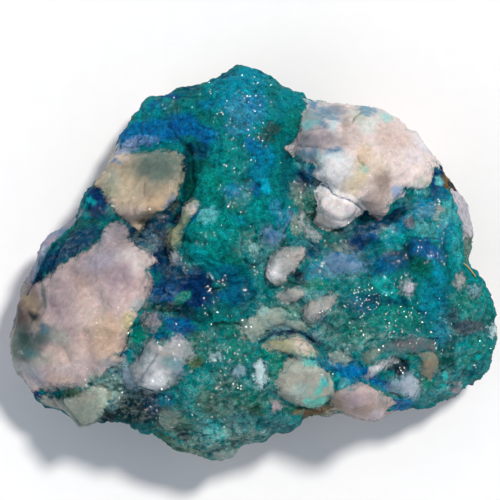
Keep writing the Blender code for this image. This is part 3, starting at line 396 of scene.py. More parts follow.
    ("paleSea", 41.6, 18.1, 1, 1.1, 0, 0.95), ("lilacWhite", 47.1, 12.9, 0.7, 5.4, 22, 1),
    ("lilacWhite", 47.5, 6.8, 0.8, 2.7, 5, 0.9), ("greyGreen", 48.6, 4.1, 1.4, 5, 0, 0.95),
    ("tealMist", 45.2, 2.3, 1.6, 5, 0, 0.8), ("seaGreen", 44.6, -1.8, 0.9, 2.7, 15, 0.6),
    ("jade", 50, -9.5, 5, 4.5, 0, 0.9), ("green", 45.9, -8.4, 2.7, 2, 0, 0.8),
    ("peacock", 42.3, -8.6, 1.4, 4.5, 0, 0.5), ("ocean", 39.6, -9.1, 2.5, 5, 0, 0.4),
    ("steelTeal", 42.1, -15.6, 2.3, 3.6, 0, 0.85), ("dusk", 48.2, -14.7, 3.6, 1.6, -5, 0.95),
    ("inkGreen", 53.2, -12.7, 1.4, 2.7, 0, 0.5), ("inkTeal", 45.7, -17.7, 2.3, 1.4, 0, 0.6),
    ("deepGreen", 48.6, -7.7, 2.7, 1.1, 10, 0.6), ("inkTeal", 43.4, -12.7, 1.8, 1.4, 0, 0.7),
    ("dusk", 45, -11.8, 1.4, 2, 0, 0.7), ("slateTeal", 51.4, -11.3, 2.7, 2.3, 0, 0.5),
    ("jade", 49.6, -20.2, 4.5, 3.2, 0, 0.7), ("turquoiseDeep", 46.8, -18.8, 1.8, 1.8, 0, 0.5),
    ("slateTeal", 50, -23.8, 4.5, 1.8, 15, 0.8), ("inkTeal", 49.1, -24.9, 3.6, 0.7, 25, 0.6),
    ("inkGreen", 43.4, -22.2, 2, 3.6, 0, 0.7), ("slateTeal", 42.3, -27.4, 4.1, 3.6, 0, 0.8),
    ("turquoise", 42.3, -28.1, 1.1, 0.8, 0, 0.9), ("turquoise", 43, -25.6, 0.8, 0.8, 0, 0.8),
    ("turquoise", 50.5, -21.3, 0.9, 0.7, 0, 0.7), ("turquoise", 47.3, -27.7, 1.1, 0.7, 0, 0.8),
    ("turquoise", 44.1, -29.7, 0.9, 0.7, 0, 0.7), ("emerald", 38.9, -27.2, 2.3, 1.4, 0, 0.8),
    ("slateTeal", 37.3, -31.8, 2.7, 1.6, 0, 0.9), ("inkBlue", 28.2, 8.8, 6.8, 1.1, 22, 0.9),
    ("ink", 32.3, 10.9, 2.7, 0.9, 30, 0.8), ("inkBlue", 23.7, 11.3, 0.7, 1.4, 0, 0.9),
    ("deepTeal", 20.8, 6.8, 2.3, 1.6, 35, 0.8), ("mossTeal", 17.8, 5, 2.7, 1.8, 0, 0.7),
    ("inkBlue", 13, 17.7, 1.8, 0.7, -20, 0.9), ("emerald", 35.7, -21.1, 1.1, 0.9, 0, 0.9),
    ("slateTeal", 33.2, -20, 4.5, 1.1, 0, 0.4), ("brownRim", 14.2, -33.3, 4.5, 1.4, 0, 1),
    ("brownRim", 29.6, -33.1, 1.4, 2.7, -30, 0.9), ("moss", 21.2, -34.7, 3.6, 0.9, -20, 0.7),
    ("navy", -49.1, -29.9, 1.4, 1.4, 0, 1), ("inkBlue", -46.2, -29.7, 1.6, 0.7, 0, 0.6),
    ("olive", -40.9, -29.7, 3.2, 1.1, 5, 0.8), ("seaMist", -33.9, -30.4, 1.1, 2.3, 0, 0.5),
    # the lilac along the left rim is painted bluish shade, as on the rim strip
    ("lilac", -41.2, 9.8, 2.7, 0.8, 36, 1), ("lilac", -44.8, 6.8, 2.7, 0.8, 36, 1),
    ("lilac", -47.3, 3.9, 2.5, 0.8, 55, 1), ("lilac", -49.1, 0, 2.5, 0.7, 68, 1),
    ("lilac", -50.9, -4.1, 2.7, 0.7, 65, 1), ("lilac", -53, -8.2, 2.3, 0.6, 72, 1),
    ("lilac", -54.3, -12.2, 2.5, 0.5, 74, 1), ("deepGreen", -32.3, 25.4, 1.4, 1.1, 0, 1),
    ("paleSea", 10.8, 22.5, 2, 1.8, 20, 0.75), ("steel", 13.5, 19.5, 2, 1.4, 20, 0.7),
    ("paleSea", 20.3, -27.4, 1.4, 1.6, 0, 0.8), ("steel", 23.2, -26.3, 1.8, 1.1, 20, 0.7),
    ("puttyDark", -23, 10.9, 1.8, 1.1, 30, 0.8), ("greyGreen", -17.8, 12.9, 1.1, 1.8, 0, 0.8),
    ("putty", 17.1, -34, 2, 0.9, 10, 0.8), ("paleSea", 2.6, -0.2, 1.1, 1.4, 0, 0.5),
    ("seaMist", -28, -17.5, 1.4, 1.8, 0, 0.7), ("druseGrey", -29.8, -22, 1.6, 1.8, 0, 0.6),
    ("turquoiseDeep", -9.2, -1.4, 1.6, 2, 0, 0.7), ("nightBlue", -22.6, 5.7, 1.6, 1.4, 0, 0.6),
    ("steelTeal", 32.8, 12.5, 1.8, 0.9, 10, 0.6), ("blackTeal", 33, -17.9, 1.8, 0.9, 0, 0.6),
    ("taupe", 26.2, 11.1, 1.1, 1.1, 0, 0.8), ("navy", -21.9, 0, 1.4, 2.7, 0, 0.9),
    ("amber", 43.7, 18.1, 1.8, 0.9, -48, 0.8), ("blackTeal", 44.3, 17.5, 0.7, 0.5, -48, 0.8),
    ("denimBright", 4.2, 5.9, 1.8, 1.4, 0, 0.6), ("denim", 20.3, 0, 3.2, 2, 0, 0.7),
    ("denim", -22.6, 34.9, 3.4, 1.8, 0, 0.35), ("deepTeal", 44.6, -3.6, 2, 5, 0, 0.35),
    ("green", -11.2, -19.1, 4.1, 2.7, 0, 0.6), ("steelBlue", 4.2, 5.9, 2, 1.6, 0, 0.35),
    ("deepDenim", 31, 0, 3.6, 1.8, 10, 0.5),
]

# Tints that lie on the quartz, given in the same way.
quartzTints = [
    ("mauve", -29.1, -1.8, 5, 3.2, 60, 0.7), ("mauveGrey", -33.5, 0.9, 5.4, 3.2, 30, 0.65),
    # On the boulder's left side the black and dusk tints are painted shade where it slopes away from the
    # light; the umber, tan and green tints there are stains.
    ("blackStainAndShade", -52.1, -19.1, 2, 5.4, 8, 0.5), ("paleSage", -39.8, -33.6, 3.6, 1.8, 0, 0.6),
    ("tan", -39.4, -33.8, 3.2, 1.6, 0, 0.35), ("dusk", -52.1, -18.8, 2, 5.4, 8, 0.35),
    ("creamLight", -26.4, 9.8, 2.3, 1.1, 10, 0.7), ("stainGreen", -48.2, -13.6, 1.4, 2.9, 10, 0.6),
    ("umber", -48.9, -9.5, 1.4, 2, 10, 0.6), ("stainGreen", -47.3, -16.1, 1.8, 1.8, 0, 0.6),
    ("dusk", -34.1, 5.4, 1.6, 1.1, -50, 0.6), ("stainBlue", -34.4, 5.9, 1.6, 1.1, -50, 0.4),
    # grey shade and sage dark on the pink pebble's lower right are painted shade
    ("greyShade", 28.9, -31.5, 1.4, 1.8, 0, 0.5), ("sageDark", 29.6, -31.8, 1.1, 1.4, 0, 0.3),
    ("stainBlue", 18.5, 23.8, 1.6, 1.1, 0, 0.45), ("lavenderWhite", 37.1, 16.8, 1.6, 1.1, 0, 0.6),
    ("coolGrey", 6.7, -0.5, 1.8, 3.2, 30, 0.35), ("greyGreen", -21.2, 21.1, 2.7, 1.8, 0, 0.6),
    ("greyShade", -20.1, -22.2, 4.5, 3.2, 0, 0.25), ("greyShade", -34.8, 0, 5.4, 2.3, 25, 0.45),
    ("greyShade", -41.2, 8.6, 2, 0.9, 36, 0.6), ("stainBlue", -43.4, 7.3, 1.1, 0.7, 36, 0.6),
    ("mauve", -45.2, 5, 1.6, 0.9, 45, 0.8), ("lavenderWhite", -47.3, 2.7, 1.1, 0.7, 55, 0.6),
    ("inkBlue", -48.4, 0, 1.1, 0.6, 60, 0.8), ("greyShade", -50.2, -2.3, 1.4, 0.9, 60, 0.7),
    ("lavenderWhite", -51.4, -5.4, 1.4, 0.7, 65, 0.5), ("stainBlue", -52.7, -8.2, 0.9, 0.6, 70, 0.7),
    ("mauve", -54.1, -11.3, 1.6, 0.9, 72, 0.7), ("stone", -43.9, 8.6, 1.8, 0.9, 36, 0.6),
    ("stone", -49.3, 1.4, 1.8, 0.7, 60, 0.6), ("greyShade", 48.2, 11.8, 0.9, 1.6, 0, 0.5),
    ("coolGrey", 49.1, 8.6, 0.9, 1.4, 0, 0.6), ("coolGrey", 46.6, 14.3, 1.4, 1.8, 0, 0.4),
    # the black tint here is painted shade on the boulder's left side
    ("blackStainAndShade", -52.5, -20.4, 1.6, 3.2, 8, 0.25), ("lavenderGrey", -30.7, 6.8, 2.7, 2.3, 0, 0.4),
    ("pearl", -28, 1.6, 2.3, 1.4, 20, 0.7), ("pearl", -24.4, 0, 2.7, 1.8, 30, 0.6),
    ("blush", -38.2, -2.9, 1.6, 4.1, 0, 0.45), ("blush", -37.5, -8.6, 2, 2.7, 0, 0.5),
    ("peach", -33, -17.7, 4.5, 5.4, 30, 0.9), ("blushLight", -41.6, -22.2, 5, 3.2, 20, 0.5),
    ("blushLight", -35.9, -10.9, 3.6, 4.5, 20, 0.4), ("apricot", -32.5, -14.3, 3.2, 3.2, 30, 0.6),
    ("peach", -42.8, -20.4, 4.5, 2.3, 20, 0.45), ("straw", -27.3, -13.2, 1.6, 2.3, 0, 0.9),
    ("coolGrey", -25.3, -9.5, 2, 1.4, 20, 0.9), ("greyShade", -30.1, 7.3, 2.9, 2.7, 0, 0.9),
    ("greyShade", -32.1, 2.7, 3.6, 2.7, 0, 0.5), ("mauve", -43.9, -7.7, 2.7, 4.5, 0, 0.4),
    ("lavenderGrey", -34.8, 0, 4.5, 1.8, 20, 0.5), ("greyGreen", -45, 0, 3.6, 1.4, 35, 0.6),
    ("tan", -51.1, -8.6, 2, 5.9, 20, 0.9), ("umber", -53, -13.6, 2.5, 5.9, 10, 1),
    # the black spot is a painted shaded pit on the boulder's left side
    ("blackStainAndShade", -49.8, -12.2, 1.4, 1.1, 0, 1), ("greyGreen", -53.9, -20, 2, 5, 0, 0.9),
    ("stainGreen", -50.7, -18.8, 2.9, 4.1, 20, 0.9), ("stainGreen", -47.3, -17.2, 2.7, 1.8, 25, 0.7),
    ("peacock", -46.8, -15, 1.4, 0.9, 0, 0.7), ("slateTeal", -50, -20.4, 1.6, 1.1, 0, 0.6),
    ("inkGreen", -51.4, -17.2, 1.4, 1.6, 0, 0.7), ("stainGreen", -47.3, -7.7, 0.7, 2.9, 10, 0.8),
    ("umber", -50.7, -4.5, 1.4, 3.2, 30, 0.5), ("sageGrey", -43.4, -16.6, 3.2, 1.6, -30, 0.6),
    ("coolGrey", -50.7, -24.9, 4.1, 2, -30, 0.9), ("lavenderGrey", -48, -26.3, 2.3, 1.4, 0, 0.5),
    ("sageGrey", -47.5, -21.8, 2.7, 1.4, 20, 0.5), ("peach", -43.9, -26.3, 3.2, 1.4, 0, 0.5),
    ("stainGreen", -42.1, -29, 4.1, 1.1, 5, 0.8), ("moss", -42.5, -29.9, 2.7, 0.9, 0, 0.8),
    ("paleSage", -35.7, -26.8, 2.7, 1.8, 30, 0.8), ("blueGrey", -32.1, -22.7, 2.3, 1.4, 0, 0.5),
    ("stone", -45, -32.2, 3.2, 1.8, -20, 0.6), ("greenGrey", -37.5, -34.5, 3.6, 2.7, 0, 0.7),
    ("paleSage", -33.5, -30.8, 1.4, 2.7, 10, 0.9), ("sageGrey", -36.2, -32.4, 1.8, 2.3, 0, 0.5),
    ("greyGreen", -21.4, 21.3, 5.9, 3.9, 0, 1), ("sageDark", -18.5, 21.8, 2.7, 2.7, 0, 0.5),
    ("sageDark", -23.5, 20.4, 2.3, 1.8, 0, 0.4), ("roseCream", -29.8, 23.6, 2.3, 1.4, 0, 0.8),
    ("mistBlue", -28.9, 25.4, 2.7, 0.9, 0, 0.9), ("stainBlue", -30.7, 22.5, 0.9, 0.5, 0, 0.8),
    ("paleSage", -31.9, 17.7, 1.8, 2.7, 0, 0.7), ("khaki", -32.1, 16.3, 1.4, 2.3, 0, 0.5),
    ("apricot", -21.7, 12.7, 2.7, 1.4, 10, 0.8), ("creamLight", -28, 16.3, 3.2, 2.7, 0, 0.5),
    ("dustyPink", -27.1, 10.9, 3.2, 1.8, 0, 0.6), ("lavenderSteel", -17.8, 12.9, 1.8, 1.4, 30, 0.9),
    # the grey shade tints over the right block's upper part, and the steel beside them, are painted shade
    # where it slopes away from the light
    ("tan", -16.7, 17.5, 1.4, 1.8, 0, 0.5), ("greyShade", 13.9, 27.2, 5.4, 2.7, 0, 0.95),
    ("greyShade", 11.9, 27.2, 2.3, 1.8, 0, 0.6), ("slateTeal", 12.4, 32.2, 3.2, 2.3, 20, 0.7),
    ("steel", 16.9, 33.8, 3.6, 2, 0, 0.75), ("greyShade", 19.6, 34.5, 2.7, 1.4, -5, 0.6),
    ("stainBlue", 13.5, 35.8, 1.1, 1.1, 0, 0.9), ("stainBlue", 15.5, 30.6, 1.1, 0.9, 0, 0.85),
    ("ice", 17.4, 30.8, 1.1, 1.6, 0, 0.8), ("stainAqua", 12.4, 30.6, 2, 0.7, 10, 0.8),
    ("paleAqua", 11.7, 37.4, 1.8, 1.1, -30, 0.9), ("steel", 12.4, 23.6, 2.7, 1.4, 10, 0.75),
    ("paleAqua", 15.5, 22.7, 1.1, 1.8, 20, 0.6), ("stainBlue", 17.8, 24.7, 2, 0.7, 3, 0.9),
    ("ice", 18.5, 23.1, 2.3, 1.1, 0, 0.7), ("snow", 18.5, 19.5, 4.5, 4.1, 0, 0.8),
    ("snow", 14.6, 20.4, 2, 1.6, 0, 0.5), ("taupe", 20.5, 31.3, 1.4, 1.4, 0, 0.8),
    ("taupe", 21.9, 28.1, 2.7, 2.3, 0, 0.4), ("paleSage", 24.2, 32.9, 2.7, 1.8, 20, 0.7),
    # the steel along the block's upper rim is painted shade where it slopes away
    ("sageWhite", 26, 30.4, 2.7, 2, 40, 0.9), ("steel", 26.4, 34.2, 2, 0.9, 0, 0.8),
    ("paleAqua", 29.6, 32.7, 0.9, 1.6, 30, 0.9), ("blush", 31.4, 27.7, 4.1, 3.2, -20, 0.4),
    ("lavenderWhite", 37.8, 27.2, 3.2, 1.6, -60, 0.7), ("mistBlue", 39.4, 25.9, 2, 0.7, -60, 0.6),
    ("lavenderWhite", 35.9, 23.1, 2.3, 3.2, 0, 0.4), ("honey", 24.4, 23.6, 1.8, 2.5, -20, 0.6),
    ("straw", 23.7, 19.5, 2, 2.3, 0, 0.7), ("creamLight", 21.9, 16.8, 2.3, 1.8, 0, 0.9),
    ("creamLight", 27.6, 20.9, 2.3, 2.7, 20, 0.5), ("stainMint", 24.6, 20.9, 1.1, 0.8, 0, 0.7),
    ("taupe", 28.5, 17.5, 2, 2.9, -10, 0.85), ("taupe", 27.3, 13.4, 2.9, 3.2, 0, 0.75),
    ("taupeDark", 29.1, 18.1, 1.4, 1.4, 0, 0.6), ("blushLight", 36.6, 19.7, 2.7, 2.3, 0, 0.7),
    ("mistBlue", 32.5, 15.6, 1.6, 1.4, 0, 0.95), ("paleSage", 38.2, 17.7, 1.8, 1.1, 0, 0.7),
    ("pearl", 17.4, 11.8, 3.2, 2.3, 0, 0.4), ("lilacWhite", 21.4, 11.3, 1.8, 2, 0, 0.6),
    ("dustyPink", 15.5, 9.3, 1.8, 1.4, 0, 0.5), ("khaki", 5.1, -17.7, 3.2, 1.4, -10, 0.8),
    ("oliveMist", 7.4, -18.6, 2.7, 1.4, 0, 0.5), ("roseCream", 11.2, -18.4, 2.7, 1.6, -40, 0.8),
    ("snow", 4.4, -2.3, 1.4, 2.7, -35, 0.6), ("dustyPink", 10.1, 2, 1.8, 1.4, 0, 0.4),
    ("paleAqua", 1.9, -10.2, 1.8, 1.1, 0, 0.7), ("paleSage", 10.5, -22.7, 3.2, 1.8, 0, 0.4),
    ("aquaCrust", 12.6, -22.2, 1.4, 1.1, 0, 0.9), ("aquaBright", 15.5, -26.8, 0.9, 1.2, 10, 1),
    ("aquaCrust", 14.4, -28.6, 0.7, 1.4, -25, 0.9), ("aquaCrust", 11.9, -31.1, 1.1, 0.9, 0, 0.9),
    ("aquaCrust", 14.4, -31.5, 1.8, 0.9, 0, 0.9), ("aquaCrust", 16, -30.6, 0.9, 0.6, 20, 0.8),
    ("aquaCrust", 8.7, -31.1, 2.7, 0.4, -25, 0.9), ("paleAqua", 10.1, -28.6, 2.7, 1.8, 0, 0.4),
    ("puttyDark", 6.9, -29.5, 1.6, 1.4, 0, 0.5), ("mauve", 22.3, -30.2, 3.6, 1.8, 0, 0.6),
    ("taupe", 26, -32.7, 3.2, 1.1, 10, 0.7), ("taupeDark", 24.2, -33.1, 2.7, 0.9, 10, 0.4),
    ("brownRim", 18.3, -31.8, 1.8, 2.7, 0, 0.7), ("lilacWhite", 27.8, -34.5, 1.8, 1.6, 0, 0.6),
    ("tan", 19.6, -34.5, 2.7, 1.1, -20, 0.5), ("roseCream", -13.7, 12.2, 1.8, 1.6, 50, 0.95),
    ("oliveMist", -17.6, 5.4, 1.4, 2.7, -10, 0.5), ("snow", -21.2, -25.9, 2.7, 1.8, 30, 0.9),
    ("snow", -22.1, -22.7, 2, 2, 40, 0.5), ("dustyGrey", -18.9, -19.1, 3.2, 1.8, 0, 0.6),
    ("blueGrey", -16.2, -24, 1.8, 2.3, 0, 0.7), ("paleSea", -18.5, -22.2, 1.8, 1.1, 0, 0.5),
    ("lilacWhite", -17.1, -17.2, 2, 1.1, 0, 0.6), ("greyGreen", 25.3, -21.3, 1.4, 1.8, 0, 0.6),
    ("snow", 26.9, -23.8, 1.1, 0.9, 30, 0.5), ("lavenderWhite", 35.5, -27.9, 1.8, 2.7, 0, 0.4),
]

# Where a thin haze of quartz lies over the copper minerals: the same without the colour.
hazePatches = [
    (-6.5, -40.4, 13.6, 5.7, 5, 0.85), (-8.7, -31.3, 9.1, 7.9, 0, 0.55),
    (3.3, -28.6, 7.7, 6.8, 0, 0.5), (10.5, -13.2, 11.8, 9.5, 0, 0.65), (18.5, 0, 7.7, 4.5, 0, 0.55),
    (20.8, -17.7, 13.6, 4.5, 0, 0.55), (47.3, -15.4, 6.4, 9.5, 0, 0.35),
    (38.9, -26.8, 11.3, 5.7, 10, 0.45), (-30.3, -27.9, 8.2, 4.5, 30, 0.8),
    (-12.1, -18.8, 6.8, 4.5, 0, 0.5), (38.9, 10.7, 5.9, 4.5, 0, 0.5), (13.3, 14.1, 4.5, 7.3, 0, 0.6),
    (1, 3.9, 5, 3.6, 0, 0.5), (-20.1, -8.6, 5.4, 4.5, 0, 0.5), (-26.2, -31.8, 5.9, 4.5, 0, 0.55),
    (-22.3, 5, 5.4, 4.1, 0, 0.55), (-16.2, -1.4, 4.1, 3.2, 0, 0.45), (24.6, 7.3, 6.4, 2, 0, 0.45),
    (-40.5, 3.9, 5.9, 3.2, 38, 0.35),
]

# Seams and creases: colour, half width, and the points they run through, in mm. Along the feet of the
# block and the round pebble, the flake's edges and the column groove the dark colour is painted shadow;
# the cracks are the stone's own.
seams = {
    "tooth crack": ("deepDenim", 0.1, [
        (15.1, 17.2), (16.4, 16.6), (17.4, 15.2), (19.2, 14.3), (21.2, 13.8), (22.8, 12.9),
        (23.7, 11.6),
    ]),
    "block crack": ("peacock", 0.05, [
        (7.6, 24.7), (10.1, 25.4), (12.8, 25.6), (14.6, 25.2), (16.7, 24.9), (18.7, 24.7),
    ]),
    "rim crack": ("umber", 0.01, [
        (21.9, 31.5), (23.2, 32.7), (24.2, 33.6), (24.8, 34.5),
    ]),
    "honey crack": ("tan", 0.01, [
        (22.8, 23.4), (23.2, 22.2), (24.2, 21.5),
    ]),
    # painted shadow along the flake's edges, here and in the next seam
    "flake back": ("peacock", 0.1, [
        (-19.2, 30.6), (-18, 29), (-16.7, 27.4), (-15.8, 26.1),
    ]),
    "flake front": ("peacock", 0.08, [
        (-12.4, 30.8), (-11, 29.9), (-9.2, 29.7), (-7.6, 29), (-7.1, 26.3), (-7.6, 23.6), (-7.4, 21.3),
    ]),
    # painted shadow in the column's groove
    "column groove": ("darkGreen", 0.3, [
        (-14.4, 25.4), (-13.7, 23.1), (-13.9, 19.7), (-13.3, 16.8), (-14.6, 14.3), (-16.4, 11.8),
        (-18.5, 9.5),
    ]),
    "wedge crease": ("inkBlue", 0.2, [
        (1.5, -17.7), (3.3, -16.3), (5.3, -15.6), (7.8, -15.4), (10.1, -15.4), (11.9, -16.3),
        (13.7, -17.7),
    ]),
    # painted shadow under the round pebble
    "round foot": ("darkGreen", 0.3, [
        (6.2, -31.1), (8.3, -32), (10.5, -32.4), (13.3, -32.7),
    ]),
    "round foot film": ("aquaTeal", 0.1, [
        (5.8, -30.2), (7.4, -31.3), (9.6, -32), (11.9, -32.2),
    ]),
    "right wall crease": ("deepTeal", 0.12, [
        (42.8, 5), (42.5, 3.2), (43.2, 0.9), (43.2, -0.9), (43.9, -3.2),
    ]),
    # painted shadow under the right block's foot
    "block foot": ("navy", 0.2, [
        (23.9, 11.1), (25.5, 10.4), (26.9, 10), (28.2, 9.1), (30.3, 10.2), (32.3, 11.6), (33.7, 12.2),
    ]),
    "little shelf": ("navy", 0.08, [
        (35, 5.4), (36.9, 5.2), (38.9, 5.4), (41.4, 5.4),
    ]),
    "moss crack": ("inkGreen", 0.25, [
        (-9, -13.6), (-7.1, -13.4), (-5.6, -13.6), (-4, -13.4), (-2.8, -13.8),
    ]),
    "boulder foot": ("ink", 0.12, [
        (-27.3, -15.6), (-27.8, -17.5), (-28.7, -19.3), (-29.8, -20.9),
    ]),
    "pale line": ("lavenderSteel", 0.18, [
        (8.5, 11.1), (7.6, 9.1), (6.2, 6.4),
    ]),
    "boulder crease": ("nightBlue", 0.15, [
        (-41.2, 2.9), (-38.4, 4.3), (-35.7, 5.4), (-33.9, 7),
    ]),
    "left rim line": ("nightBlue", 0.12, [
        (-43.4, 5.4), (-46.2, 2.3), (-48, -1.4), (-49.3, -4.1), (-51.1, -7.3),
    ]),
    "druse groove": ("blueGrey", 0.1, [
        (-27.3, -29.5), (-25.7, -26.8), (-23.5, -23.6), (-21.2, -20.4),
    ]),
    "long bar shade": ("darkGreen", 0.15, [
        (-15.8, 3.4), (-15.3, 5.9), (-14.4, 8.2), (-13, 10.2), (-11.9, 12.5),
    ]),
    "cluster line": ("green", 0.15, [
        (3.3, -9.8), (5.6, -9.5), (7.4, -10.4), (8.7, -11.8),
    ]),
    "nodule line": ("nightBlue", 0.08, [
        (-34.8, 11.3), (-33, 9.5), (-30.7, 9.3),
    ]),
    "scar": ("deepTeal", 0.08, [
        (-13, 26.3), (-12.1, 24.9), (-9.4, 24), (-7.4, 24.5),
    ]),
    "sandy crack": ("deepTeal", 0.06, [
        (-4, 12.2), (-3.1, 9.1), (-2.4, 5.9), (-2.8, 2.7), (-1.7, 0),
    ]),
    "hollow line": ("inkBlue", 0.1, [
        (-22.1, -9.3), (-19.4, -9.5), (-16.7, -10), (-14.4, -10.9),
    ]),
}

# Quartz that shows on the sides and the underside: colour, centre, half sizes, turn; mm and degrees.
underPieces = {
    "left boulder, below": ("roseGrey", (-40, -10, 9), (15, 21, 11), -25),
    "right block, side": ("pinkWhite", (30, 26, 15), (17, 11, 11), -22),
    "right block, below": ("dustyPink", (30, 20, 4), (11, 8, 8), -22),
    "pink pebble, below": ("dustyPink", (24, -32, 12), (9, 5, 8), 0),
    "cream quartz, side": ("cream", (-31, 22, 15), (9, 7, 9), 30),
    "base vein": ("druseGrey", (-4, -10, 1), (24, 7, 8), 24),
    "base lens": ("cream", (10, 12, 1), (15, 8, 7), -18),
    "front lens": ("putty", (-6, -41, 9), (11, 5, 5), 8),
    "peak lens": ("coolGrey", (-12, 38, 9), (9, 5, 5), 20),
    "right lens": ("mauveGrey", (52, -14, 8), (5, 9, 6), 0),
    # the lilac on the left side below is painted bluish shade too
    "left rim, upper": ("lilac", (-46, 4, 13), (3.5, 12, 8), -42),
    "left rim, lower": ("lilac", (-54, -9, 11), (3.0, 9, 7), -14),
    "right rim, upper": ("lilacWhite", (47, 12, 14), (3.0, 8, 7), 12),
    "right rim, lower": ("greyGreen", (48, 4, 10), (3.5, 6, 7), 0),
}
scatteredPieces = {
    "count": 90, "smallest": 1.8, "largest": 6.5, "seed": 5, "colours": [
        "roseGrey", "cream", "putty", "mauveGrey", "coolGrey", "tan", "druseGrey", "sageGrey",
        "dustyPink",
    ],
}
underMinerals = ["deepTeal", "teal", "inkBlue", "jade", "mossTeal", "peacock", "oliveTeal", "navy"]


def smoothStep(low, high, value):
    share = np.clip((value - low) / (high - low), 0, 1)
    return share * share * (3 - 2 * share)


def cloud(points, size, seed, octaves=1):
    # smooth noise from about -1 to 1, points and size in mm
    shift = Vector((seed * 5.17, seed * 2.73, seed * 9.31))
    places = [Vector(point) / size + shift for point in points]
    if octaves == 1:
        return np.array([noise.noise(place) for place in places]) * 1.5
    return np.array([noise.fractal(place, 0.9, 2.1, octaves) for place in places])


def drift(points, size, seed):
    # a noise vector for each point
    shift = Vector((seed * 3.71, seed * 8.13, seed * 1.77))
    return np.array([noise.noise_vector(Vector(point) / size + shift) for point in points])


cellMix = {
    "steps": (73856093, 19349663, 83492791), "seedStep": 7919, "factor": 1103515245, "shift": 12345,
}


def cellFacets(points, size, seed):
    # nearly flat facets: each small cell of space tilts its own way; gives about -1 to 1
    scaled = points / size
    home = np.floor(scaled).astype(np.int64)
    height, total = np.zeros(len(points)), np.full(len(points), 1e-9)
    for stepX, stepY, stepZ in np.ndindex(3, 3, 3):
        cell = home + np.array([stepX - 1, stepY - 1, stepZ - 1])
        mixed = cell @ np.array(cellMix["steps"]) + seed * cellMix["seedStep"]
        away = scaled - cell
        tilt = np.empty_like(away)
        for axis in range(3):
            mixed = (mixed * cellMix["factor"] + cellMix["shift"]) % 2**31
            away[:, axis] -= mixed / 2**31
            mixed = (mixed * cellMix["factor"] + cellMix["shift"]) % 2**31
            tilt[:, axis] = mixed / 2**30 - 1
        weight = np.exp(-9 * (away**2).sum(axis=1))
        height += weight * (away * tilt).sum(axis=1)
        total += weight
    return height / total


def lineDistance(x, y, points):
    nearest = np.full(x.shape, 1e9)
    for (x0, y0), (x1, y1) in zip(points[:-1], points[1:]):
        stepX, stepY = x1 - x0, y1 - y0
        share = np.clip(((x - x0) * stepX + (y - y0) * stepY) / (stepX**2 + stepY**2), 0, 1)
        nearest = np.minimum(nearest, np.hypot(x - x0 - share * stepX, y - y0 - share * stepY))
    return nearest


def insideDistance(x, y, corners):
    # distance to a closed edge, positive inside it
    closed = corners + corners[:1]
    inside = np.zeros(x.shape, bool)
    for (x0, y0), (x1, y1) in zip(corners, closed[1:]):
        if y0 != y1:
            crosses = (y0 > y) != (y1 > y)
            inside ^= crosses & (x < (x1 - x0) * (y - y0) / (y1 - y0) + x0)
    nearest = lineDistance(x, y, closed)
    return np.where(inside, nearest, -nearest)


def turned(x, y, turn):
    along, across = math.cos(math.radians(turn)), math.sin(math.radians(turn))
    return x * along + y * across, y * along - x * across


def blend(first, second, share):
    # the first where share is 0, the second where it is 1
    if first.ndim > share.ndim:
        share = share[:, None]
    return first * (1 - share) + second * share


def patchWeight(x, y, patch, soft, ragged):
    centreX, centreY, length, width, turn, strength = patch
    along, across = turned(x - centreX, y - centreY, turn)
    reach = np.hypot(along / length, across / width) + ragged / (0.6 + width)
    return strength * smoothStep(1 + soft, 1 - soft, reach)


def layPatches(x, y, colour, patches, soft, ragged):
    for name, *patch in patches:
        colour = blend(colour, colours[name], patchWeight(x, y, patch, soft, ragged))
    return colour


def scattered(points, normals):
    # small lumps of quartz all over the sides and the underside
    rng = random.Random(scatteredPieces["seed"])
    low = np.flatnonzero(normals[:, 2] < 0.1)
    pieces = []
    for _ in range(scatteredPieces["count"]):
        centre = points[low[rng.randrange(len(low))]]
        size = scatteredPieces["smallest"] + rng.random() ** 2 * scatteredPieces["largest"]
        sizes = (size, size * rng.uniform(0.5, 0.9), size * rng.uniform(0.5, 0.8))
        pieces.append((rng.choice(scatteredPieces["colours"]), tuple(centre), sizes, rng.uniform(0, 180)))
    return pieces


def bodyDistance(points, centre, sizes, turn):
    away = points - np.array(centre)
    along, across = turned(away[:, 0], away[:, 1], turn)
    u, v, w = along / sizes[0], across / sizes[1], away[:, 2] / sizes[2]
    return (1 - np.sqrt(u * u + v * v + w * w)) * min(sizes)


# How far noise pulls the edges of the patches about and the size of its waves, mm.
wander = {
    "broad": (0.55, 5.0), "fine": (0.40, 1.3), "side": (3.0, 6.0), "ragged": (0.8, 1.5),
    "lumpBroad": (1.6, 5), "lumpFine": (0.5, 1.6),
}
# How softly the patches fade into each other, as a share of their size.
softness = {"mineral": 0.4, "haze": 0.6, "tint": 0.65}
# The edges of the quartz pieces wander less: the share of each wave that they keep.
pieceShare = {"broad": 0.35, "fine": 0.5}
# How far down a surface faces, as its normal's z, where the face's marks give way to the sides' own.
underside = {"starts": 0.24, "full": -0.04, "waver": 0.15, "waverSize": 6}
sideLook = {"rise": 0.4, "soft": 0.5, "clear": 0.85, "haze": 0.5}
brownShare = 0.7
faraway = 9.0  # mm, further than any mark reaches


def pulled(points, kind, seed):
    reach, size = wander[kind]
    return drift(points, size, seed) * reach


def layNearest(fields, distance, values):
    # a piece's values stand wherever it is the nearest so far
    closer = distance > fields["quartzEdge"]
    fields["quartzEdge"][closer] = distance[closer]
    for name, value in values.items():
        fields[name][closer] = value


